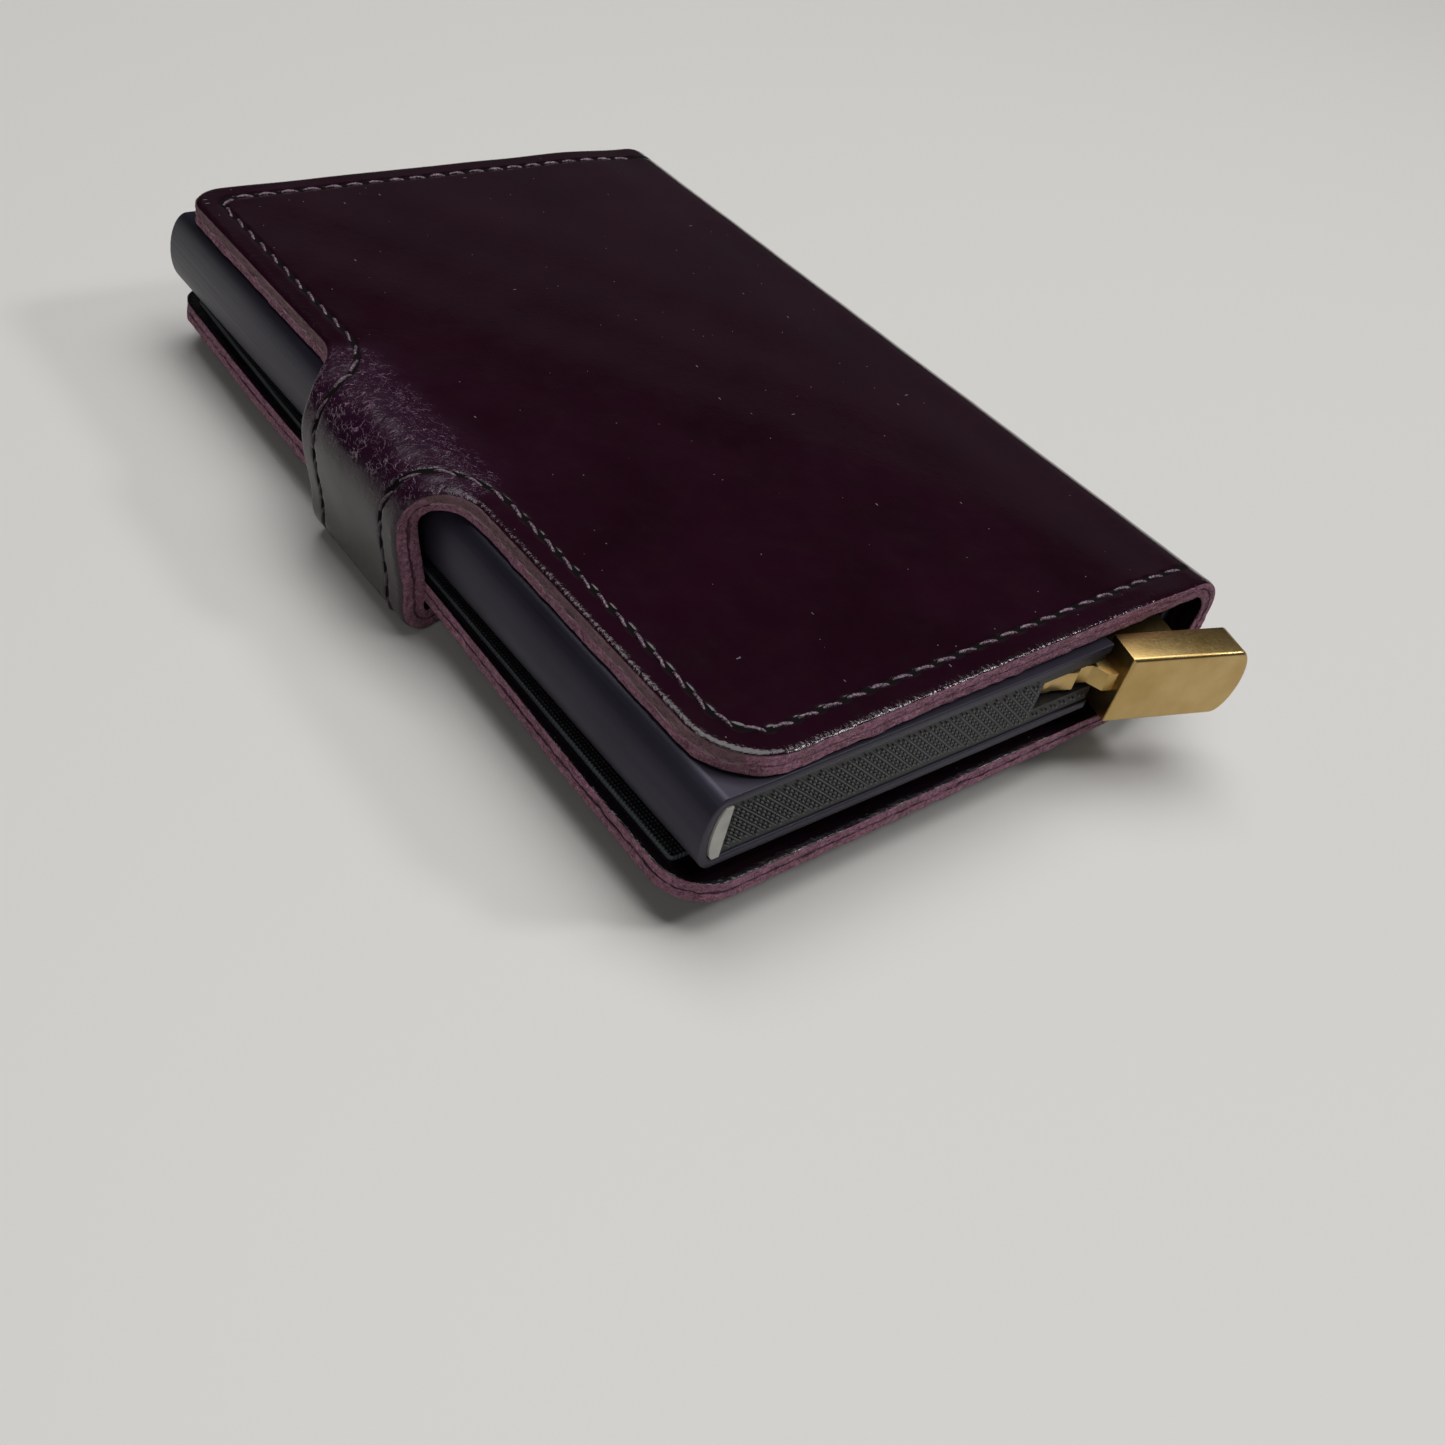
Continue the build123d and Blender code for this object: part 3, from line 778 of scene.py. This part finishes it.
def ridge_z(ridge, x):
    """Height of a numbered ridge at x."""
    return ridge * RIDGE_PITCH + RIDGE_SLOPE * x


def add_stud(mesh, corners):
    """A raised stud on the cap's face, slightly smaller at its top. corners are four (x, z) places."""
    vertices, faces = mesh
    start = len(vertices)
    middle = np.mean(corners, axis=0)
    for shrink, y in ((1.0, CAP_LOW[1] + 0.02), (0.82, CAP_LOW[1] - KNURL_HEIGHT)):
        vertices += [(x, y, z) for x, z in middle + (np.array(corners) - middle) * shrink]
    faces.append((start + 4, start + 5, start + 6, start + 7))
    for n in range(4):
        m = (n + 1) % 4
        faces.append((start + n, start + m, start + 4 + m, start + 4 + n))


def knurled_strip(mesh, left, right, low, high):
    """Upright ribs cut by slanting grooves, with a thin ridge after every second groove."""
    stud_height = (RIDGE_PITCH - RIDGE_WIDTH - 3 * KNURL_GAP) / 2
    offsets = [RIDGE_WIDTH + KNURL_GAP, RIDGE_WIDTH + 2 * KNURL_GAP + stud_height]
    x = math.ceil(left / RIB_PITCH) * RIB_PITCH
    while x + RIB_WIDTH < right:
        slant = RIDGE_SLOPE * RIB_WIDTH
        ridge = math.floor((low - RIDGE_SLOPE * x) / RIDGE_PITCH) - 1
        while ridge_z(ridge, x) < high:
            for offset in offsets:
                bottom = ridge_z(ridge, x) + offset
                top = bottom + stud_height
                if bottom + slant > low and top < high:
                    add_stud(mesh, [(x, bottom), (x + RIB_WIDTH, bottom + slant),
                                    (x + RIB_WIDTH, top + slant), (x, top)])
            ridge += 1
        x += RIB_PITCH


def knurled_ridges(mesh, left, right, low, high):
    """The thin slanting ridges, each clipped to the strip."""
    ridge = math.floor((low - RIDGE_SLOPE * left) / RIDGE_PITCH) - 1
    while ridge_z(ridge, right) < high:
        start_z = ridge * RIDGE_PITCH
        ridge += 1
        x_low = max(left, (high - RIDGE_WIDTH - start_z) / RIDGE_SLOPE)
        x_high = min(right, (low - start_z) / RIDGE_SLOPE)
        if x_high - x_low < RIB_PITCH:
            continue
        z_low, z_high = start_z + RIDGE_SLOPE * x_low, start_z + RIDGE_SLOPE * x_high
        add_stud(mesh, [(x_low, z_low), (x_high, z_high),
                        (x_high, z_high + RIDGE_WIDTH), (x_low, z_low + RIDGE_WIDTH)])


def make_knurling(material):
    """Raised texture on the end cap's face, round the lever's slot."""
    left, right = CAP_LOW[0] + KNURL_MARGIN, CAP_HIGH[0] - 1.5 * KNURL_MARGIN
    slot_left = CAP_HIGH[0] - LEVER_SLOT_LENGTH
    bottom, top = CAP_LOW[2] + LOWER_MARGIN, CAP_HIGH[2] - KNURL_MARGIN
    below_arm = box_mm("ejector_lever")[0][2] + ARM_CLEARANCE
    mesh = ([], [])
    knurled_strip(mesh, left, slot_left, bottom, top)
    knurled_ridges(mesh, left, slot_left, bottom, top)
    knurled_strip(mesh, slot_left, right, bottom, below_arm)
    piece = make_object("end_cap_knurling", *mesh, [material], smooth=False)
    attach(piece, "case")


# ------ materials

class Graph:
    """Short-hand for building one material's nodes."""

    def __init__(self, name):
        self.material = bpy.data.materials.new(name)
        self.material.use_nodes = True
        self.tree = self.material.node_tree
        self.shader = self.tree.nodes["Principled BSDF"]

    def add(self, kind, inputs=None, **settings):
        node = self.tree.nodes.new(kind)
        for key, value in settings.items():
            setattr(node, key, value)
        for key, value in (inputs or {}).items():
            self.feed(node.inputs[key], value)
        return node

    def feed(self, socket, value):
        if isinstance(value, bpy.types.NodeSocket):
            self.tree.links.new(value, socket)
        else:
            socket.default_value = (*value, 1.0) if socket.type == "RGBA" else value

    def place(self):
        """Coordinates in millimetres that stay with the leather as it folds."""
        return self.add("ShaderNodeAttribute", attribute_name="flat_mm").outputs["Vector"]

    def stored(self, name):
        """A number stored on the mesh."""
        return self.add("ShaderNodeAttribute", attribute_name=name).outputs["Fac"]

    def parts(self, vector):
        return self.add("ShaderNodeSeparateXYZ", {"Vector": vector}).outputs

    def vectors(self, operation, inputs):
        return self.add("ShaderNodeVectorMath", inputs, operation=operation).outputs["Vector"]

    def object_mm(self):
        coordinates = self.add("ShaderNodeTexCoord").outputs["Object"]
        return self.vectors("SCALE", {0: coordinates, 3: 1 / MM})

    def stretch(self, vector, scale):
        return self.vectors("MULTIPLY", {0: vector, 1: scale})

    def noise(self, vector, scale, detail=3.0, roughness=0.55):
        return self.add("ShaderNodeTexNoise", {"Vector": vector, "Scale": scale, "Detail": detail,
                                               "Roughness": roughness}).outputs["Fac"]

    def warp(self, vector, scale, amount):
        """The place moved about by a noise, by up to half the amount each way."""
        inputs = {"Vector": vector, "Scale": scale, "Detail": 2.0}
        drift = self.add("ShaderNodeTexNoise", inputs).outputs["Color"]
        centred = self.vectors("SUBTRACT", {0: drift, 1: (0.5, 0.5, 0.5)})
        moved = self.vectors("SCALE", {0: centred, 3: amount})
        return self.vectors("ADD", {0: vector, 1: moved})

    def cells(self, vector, scale, feature="DISTANCE_TO_EDGE"):
        return self.add("ShaderNodeTexVoronoi", {"Vector": vector, "Scale": scale}, feature=feature)

    def math(self, operation, first, second=0.0):
        return self.add("ShaderNodeMath", {0: first, 1: second}, operation=operation).outputs[0]

    def times(self, first, second):
        return self.math("MULTIPLY", first, second)

    def apart(self, first, second):
        return self.math("ABSOLUTE", self.math("SUBTRACT", first, second))

    def ramp(self, value, low, high, first=0.0, last=1.0):
        """The value spread over first to last as it goes from low to high."""
        inputs = {"Value": value, "From Min": low, "From Max": high, "To Min": first, "To Max": last}
        return self.add("ShaderNodeMapRange", inputs).outputs["Result"]

    def mix(self, share, first, second):
        inputs = {"Factor": share, "A": first, "B": second}
        return self.add("ShaderNodeMix", inputs, data_type="RGBA").outputs["Result"]

    def bump(self, height, distance_mm, strength=1.0, normal=None):
        inputs = {"Height": height, "Distance": distance_mm * MM, "Strength": strength}
        if normal is not None:
            inputs["Normal"] = normal
        return self.add("ShaderNodeBump", inputs).outputs["Normal"]

    def finish(self, base, roughness, normal=None, metallic=0.0, specular=0.5, ior=1.5):
        values = {"Base Color": base, "Roughness": roughness, "Metallic": metallic, "IOR": ior,
                  "Specular IOR Level": specular}
        for key, value in values.items():
            self.feed(self.shader.inputs[key], value)
        if normal is not None:
            self.feed(self.shader.inputs["Normal"], normal)
        return self.material


CREASED_PURPLE = (0.019, 0.0032, 0.0145)
CRACK_MAUVE = (0.24, 0.12, 0.20)
# Painted shade for the stitch groove and its needle holes
PAINTED_SEAM_SHADE = (0.0025, 0.0008, 0.0015)
DUST_GREY = (0.3, 0.26, 0.27)


def specks(graph, vector, scale, radius, share):
    """1 in small scattered spots, such as dust; share is how many cells have one."""
    cells = graph.cells(vector, scale, "F1")
    spot = graph.math("LESS_THAN", cells.outputs["Distance"], radius)
    pick = graph.add("ShaderNodeSeparateColor", {"Color": cells.outputs["Color"]}).outputs["Red"]
    return graph.times(spot, graph.math("LESS_THAN", pick, share))


def scattered_marks(graph, place, near_edge, share):
    """Dust and short scratches on polished leather, more of them near the cut edges."""
    crowd = graph.math("ADD", graph.times(near_edge, 0.3), share)
    marks = specks(graph, place, 0.75, 0.045, crowd)
    for stretch in ((0.22, 1.0, 1.0), (1.0, 0.3, 1.0)):
        scratch = specks(graph, graph.stretch(place, stretch), 0.6, 0.035, crowd)
        marks = graph.math("MAXIMUM", marks, scratch)
    return marks


def crack_lines(graph, place, stretch, width, patches):
    """Lines of a stretched net of cells, kept only in patches of the given size."""
    net = graph.cells(graph.stretch(place, stretch), 1.0).outputs["Distance"]
    kept = graph.ramp(graph.noise(place, patches), 0.48, 0.62)
    return graph.times(graph.ramp(net, width, 0.0), kept)


def crackle(graph, place, crease):
    """Pale, broken net of cracks where the leather creases, with cells longer along the bend."""
    warped = graph.warp(graph.warp(place, 0.9, 0.9), 2.6, 0.35)
    coarse = crack_lines(graph, warped, (1.6, 0.7, 1.0), 0.045, 0.8)
    fine = crack_lines(graph, warped, (3.0, 1.7, 1.0), 0.06, 1.3)
    lines = graph.math("MAXIMUM", coarse, graph.times(fine, 0.45))
    return graph.times(lines, graph.ramp(crease, 0.25, 0.75))


def glossy_leather(name, dark, light, dust_share):
    """Polished, dyed leather that turns purple and cracks where it creases."""
    graph = Graph(name)
    place = graph.place()
    crease = graph.stored("crease")
    inset = graph.stored("inset_mm")
    near_edge = graph.ramp(inset, 4.3, 1.5)
    rim = graph.ramp(inset, 1.3, 0.6)
    base = graph.mix(graph.ramp(graph.noise(place, 0.07, 4.0), 0.35, 0.7), dark, light)
    base = graph.mix(graph.ramp(crease, 0.05, 0.7, 0.0, 0.9), base, CREASED_PURPLE)
    lines = crackle(graph, place, crease)
    base = graph.mix(graph.times(lines, 0.8), base, CRACK_MAUVE)
    # Painted shade: the stitch groove and needle holes darkened towards black
    seam = graph.stored("seam")
    base = graph.mix(graph.ramp(seam, 0.1, 0.6, 0.0, 0.9), base, PAINTED_SEAM_SHADE)
    marks = scattered_marks(graph, place, near_edge, dust_share)
    base = graph.mix(graph.times(marks, 0.5), base, DUST_GREY)
    rough = graph.ramp(graph.noise(place, 0.35, 5.0), 0.3, 0.75, 0.11, 0.2)
    rough = graph.math("ADD", rough, graph.times(crease, 0.12))
    rough = graph.math("ADD", rough, graph.times(marks, 0.3))
    pores = graph.cells(place, 3.2, "F1").outputs["Distance"]
    normal = graph.bump(graph.noise(place, 0.5, 2.0), 0.03, 0.4)
    normal = graph.bump(pores, 0.01, 0.3, normal)
    normal = graph.bump(graph.noise(place, 1.9, 3.0), 0.16, graph.times(rim, 0.5), normal)
    normal = graph.bump(lines, 0.10, 0.9, normal)
    grain = graph.noise(graph.warp(place, 0.9, 0.9), 1.6, 3.0)
    normal = graph.bump(grain, 0.10, graph.times(crease, 0.6), normal)
    return graph.finish(base, rough, normal, ior=1.45)


def painted_groove_shade():
    """Painted shade: the dark, dull bottom of the stitch groove and its needle holes."""
    return Graph("leather_stitch_groove_painted_shade").finish(PAINTED_SEAM_SHADE, 0.85, specular=0.12)


def raw_edge():
    """Cut leather: mauve fibres, paler along the glue line and darker by the polished face."""
    graph = Graph("raw_leather_edge")
    place = graph.place()
    fibres = graph.noise(graph.warp(place, 1.6, 0.9), 2.4, 7.0, 0.85)
    tufts = graph.ramp(graph.noise(graph.warp(place, 2.5, 0.5), 1.9, 5.0, 0.8), 0.54, 0.62)
    base = graph.mix(graph.ramp(fibres, 0.42, 0.58), (0.19, 0.06, 0.11), (0.66, 0.30, 0.43))
    patches = graph.ramp(graph.noise(place, 0.4, 3.0), 0.4, 0.75, 0.0, 0.4)
    base = graph.mix(patches, base, (0.34, 0.17, 0.22))
    base = graph.mix(graph.times(tufts, 0.55), base, (0.85, 0.58, 0.68))
    parts = graph.parts(place)
    level, wander = parts["Z"], graph.ramp(graph.noise(place, 0.8, 3.0), 0.3, 0.7, -0.12, 0.12)
    from_glue = graph.math("ABSOLUTE", graph.math("ADD", level, wander))
    on_panel_side = graph.math("LESS_THAN", graph.apart(parts["X"], PANEL_LEFT_U), 2.5)
    # The outer layer's cut edge beside the back panel is coloured towards taupe
    taupe_share = graph.times(on_panel_side, graph.ramp(level, -0.1, 0.2))
    base = graph.mix(graph.times(taupe_share, 0.75), base, (0.23, 0.14, 0.145))
    from_middle = graph.apart(parts["X"], (PANEL_U + TOP_FOLD_U) / 2)
    beyond_panel = graph.math("GREATER_THAN", from_middle, (TOP_FOLD_U - PANEL_U) / 2)
    seen = graph.math("MAXIMUM", on_panel_side, graph.ramp(beyond_panel, 0.0, 1.0, 0.25, 0.8))
    glue = graph.times(graph.ramp(from_glue, 0.16, 0.04), seen)
    shade = graph.mix(on_panel_side, (0.05, 0.014, 0.03), (0.70, 0.46, 0.54))
    base = graph.mix(glue, base, shade)
    face_side = graph.ramp(graph.math("ABSOLUTE", level), LAYER - 0.1, LAYER - 0.02)
    base = graph.mix(graph.times(face_side, 0.8), base, (0.03, 0.006, 0.015))
    normal = graph.bump(fibres, 0.4, 1.0)
    normal = graph.bump(tufts, 0.15, 1.0, normal)
    normal = graph.bump(glue, 0.15, 0.8, normal)
    return graph.finish(base, 0.85, normal)


def thread_material():
    """Dark waxed thread with painted highlights: small pale glints on its plies, fewer along the strap.
    """
    graph = Graph("waxed_thread")
    place = graph.place()
    strands = graph.noise(place, 4.5, 5.0, 0.7)
    along_path = graph.parts(place)["X"]
    # Painted highlights: pale glints mixed into the colour, faded out along the strap
    painted_glint_amount = graph.ramp(along_path, UPPER_BEND_U - 2, PANEL_U + 3, 0.12, 1.0)
    glints = graph.times(graph.ramp(strands, 0.44, 0.64), painted_glint_amount)
    base = graph.mix(glints, (0.022, 0.009, 0.017), (0.36, 0.24, 0.31))
    normal = graph.bump(strands, 0.08, 0.9)
    return graph.finish(base, 0.38, normal)


def anodised_aluminium():
    """Dark blue-violet anodising over a fine brushed and blasted surface."""
    graph = Graph("anodised_aluminium_dark")
    place = graph.object_mm()
    blast = graph.noise(place, 5.0, 4.0, 0.7)
    drawn = graph.noise(graph.stretch(place, (2.2, 0.02, 2.2)), 2.0, 4.0)
    base = graph.mix(graph.ramp(graph.noise(place, 0.08), 0.35, 0.7), (0.022, 0.019, 0.034),
                     (0.030, 0.026, 0.044))
    rough = graph.ramp(drawn, 0.3, 0.7, 0.42, 0.5)
    normal = graph.bump(blast, 0.006, 0.5)
    return graph.finish(base, rough, normal, metallic=0.55, specular=0.6)


def lighter(tone, times):
    return tuple(times * part for part in tone)


def moulded_plastic(name, tone, roughness):
    graph = Graph(name)
    place = graph.object_mm()
    grain = graph.noise(place, 6.0, 3.0)
    patches = graph.ramp(graph.noise(place, 0.4), 0.3, 0.7)
    base = graph.mix(patches, tone, lighter(tone, 1.35))
    normal = graph.bump(grain, 0.012, 0.5)
    return graph.finish(base, roughness, normal)


def satin_gold():
    """Brushed, pale gold plating."""
    graph = Graph("satin_gold")
    place = graph.object_mm()
    brushed = graph.noise(graph.stretch(place, (1.2, 1.2, 0.25)), 4.0, 5.0, 0.65)
    base = graph.mix(graph.ramp(graph.noise(place, 0.25), 0.35, 0.7), (0.48, 0.32, 0.115),
                     (0.57, 0.405, 0.175))
    rough = graph.ramp(brushed, 0.3, 0.7, 0.28, 0.4)
    normal = graph.bump(brushed, 0.008, 0.5)
    return graph.finish(base, rough, normal, metallic=1.0)


def plain_metal(name, tone, roughness):
    graph = Graph(name)
    place = graph.object_mm()
    turned = graph.noise(place, 3.0, 4.0)
    base = graph.mix(graph.ramp(turned, 0.3, 0.7), tone, lighter(tone, 1.2))
    rough = graph.ramp(turned, 0.3, 0.7, roughness, roughness + 0.1)
    normal = graph.bump(turned, 0.006, 0.4)
    return graph.finish(base, rough, normal, metallic=1.0)


def woven_textile():
    """Near-black weave whose crossings show as small pale dots, with a painted highlight along its edge.
    """
    graph = Graph("woven_textile_black")
    place = graph.object_mm()
    parts = graph.parts(place)
    pitch = math.tau / 0.78
    falling = graph.math("ADD", parts["X"], parts["Y"])
    rising = graph.math("SUBTRACT", parts["X"], parts["Y"])
    waves = [graph.math("SINE", graph.times(way, pitch)) for way in (falling, rising)]
    weave = graph.times(*waves)
    height = graph.math("ADD", weave, graph.times(graph.noise(place, 6.0, 3.0), 0.6))
    crossings = graph.ramp(height, 0.85, 1.15)
    base = graph.mix(crossings, (0.003, 0.003, 0.004), (0.10, 0.12, 0.125))
    inset = graph.stored("inset_mm")
    # Painted highlight: a pale line along the textile's edge
    base = graph.mix(graph.ramp(inset, 0.17, 0.1, 0.0, 0.8), base, (0.11, 0.13, 0.14))
    normal = graph.bump(height, 0.08, 0.9)
    return graph.finish(base, 0.65, normal)


def floor_material():
    return Graph("pale_table").finish((0.66, 0.65, 0.625), 0.55)


# ------ CAD nodes that stay

def dress_node(node, material, round_edges=0.0):
    """Give a CAD node its material, and soften its edges with modifiers."""
    piece = frame["nodes"][node]
    if not piece.material_slots:
        piece.data.materials.append(material)
    for slot in piece.material_slots:
        slot.material = material
    if round_edges:
        piece.data.polygons.foreach_set("use_smooth", np.full(len(piece.data.polygons), True))
        weld = piece.modifiers.new("weld", "WELD")
        weld.merge_threshold = 1e-6
        bevel = piece.modifiers.new("bevel", "BEVEL")
        bevel.width = round_edges * MM
        bevel.segments = 2
        bevel.limit_method = "ANGLE"
        bevel.angle_limit = math.radians(40)
        bevel.harden_normals = True


# ------ camera, light and floor

def make_camera():
    """Camera at the reference viewing angle, above the near left corner."""
    data = bpy.data.cameras.new("camera")
    data.sensor_width = 36
    data.lens = 38.99
    data.shift_x = 0.0546
    data.shift_y = -0.0045
    data.clip_start = 0.005
    camera = add_object("camera", data)
    camera.location = (-0.09515, -0.09961, 0.09473)
    camera.rotation_euler = Euler([math.radians(a) for a in (48.0, -10.753, -35.84)], "XYZ")
    scene.camera = camera


def area_light(name, place, target, size, power, tint=(1.0, 1.0, 1.0)):
    data = bpy.data.lights.new(name, "AREA")
    data.shape = "RECTANGLE"
    data.size, data.size_y = size
    data.energy = power
    data.color = tint
    light = add_object(name, data)
    light.location = place
    aim = Vector(target) - Vector(place)
    light.rotation_euler = aim.to_track_quat("-Z", "Y").to_euler()


def make_lights():
    area_light("overhead", (0.12, 0.08, 0.80), (0.02, 0.02, 0), (0.8, 0.6), 6.1)
    area_light("near_right", (0.60, -0.40, 0.66), (0, 0, 0), (0.16, 0.12), 1.9)
    area_light("behind_camera", (-0.62, -0.50, 0.62), (0, 0, 0), (0.5, 0.35), 1.1, (1.0, 0.985, 0.96))
    area_light("far_side", (0.95, 0.80, 0.42), (0, 0, 0.05), (1.6, 0.5), 0.12)
    world = bpy.data.worlds.new("room")
    world.use_nodes = True
    background = world.node_tree.nodes["Background"]
    background.inputs["Color"].default_value = (0.93, 0.96, 1.0, 1.0)
    background.inputs["Strength"].default_value = 0.02
    scene.world = world


def make_floor(material):
    reach = 1500.0
    corners = [(-reach, -reach, 0), (reach, -reach, 0), (reach, reach, 0), (-reach, reach, 0)]
    make_object("floor", corners, [(0, 1, 2, 3)], [material])


# ------ the wallet

def make_leather():
    outer = glossy_leather("glossy_leather_aubergine", (0.0105, 0.0012, 0.0048),
                           (0.0150, 0.0021, 0.0074), 0.35)
    lining = glossy_leather("glossy_leather_lining", (0.004, 0.0018, 0.0032),
                            (0.0075, 0.003, 0.005), 0.6)
    edge = raw_edge()
    # groove is a painted shade material for the stitch groove and needle holes
    groove = painted_groove_shade()
    thread = thread_material()
    make_leather_layer(1, [outer, edge, groove])
    make_leather_layer(-1, [lining, edge, groove])
    make_stitching(1, thread)
    make_stitching(-1, thread)
    return lining


def make_pockets(lining):
    textile = pocket_plate("textile_panel", "textile_pocket", woven_textile(), 1.1, 0.06, 0.5)
    for order in ("rear", "front"):
        node = f"card_pocket_{order}"
        pocket = pocket_plate(f"{node}_sheet", node, lining, 1.4, 0.1, 2.0)


def dress_frame():
    black = moulded_plastic("black_plastic_moulded", (0.004, 0.004, 0.005), 0.5)
    # The raised knurling is coloured lighter than the cap's moulded black
    knurl_black = moulded_plastic("black_plastic_texture", (0.035, 0.039, 0.042), 0.42)
    gold = satin_gold()
    strip = moulded_plastic("off_white_strip", (0.38, 0.38, 0.35), 0.6)
    pin = plain_metal("steel_pin", (0.45, 0.45, 0.46), 0.3)
    tape = moulded_plastic("adhesive_tape", (0.02, 0.02, 0.02), 0.7)
    snap = plain_metal("snap_gunmetal", (0.16, 0.15, 0.15), 0.28)
    dress_node("housing", anodised_aluminium(), 0.12)
    dress_node("ejector_lever", gold, 0.35)
    plain = {"end_cap": black, "lever_pivot_pin": pin, "retaining_strip_left": strip,
             "retaining_strip_right": strip, "mounting_tape": tape, "snap_cap": snap,
             "snap_socket": snap, "snap_stud": snap, "snap_stud_eyelet": snap}
    for node, material in plain.items():
        dress_node(node, material)
    make_knurling(knurl_black)


make_camera()
make_lights()
make_floor(floor_material())
make_pockets(make_leather())
dress_frame()
scene.view_settings.view_transform = "Standard"
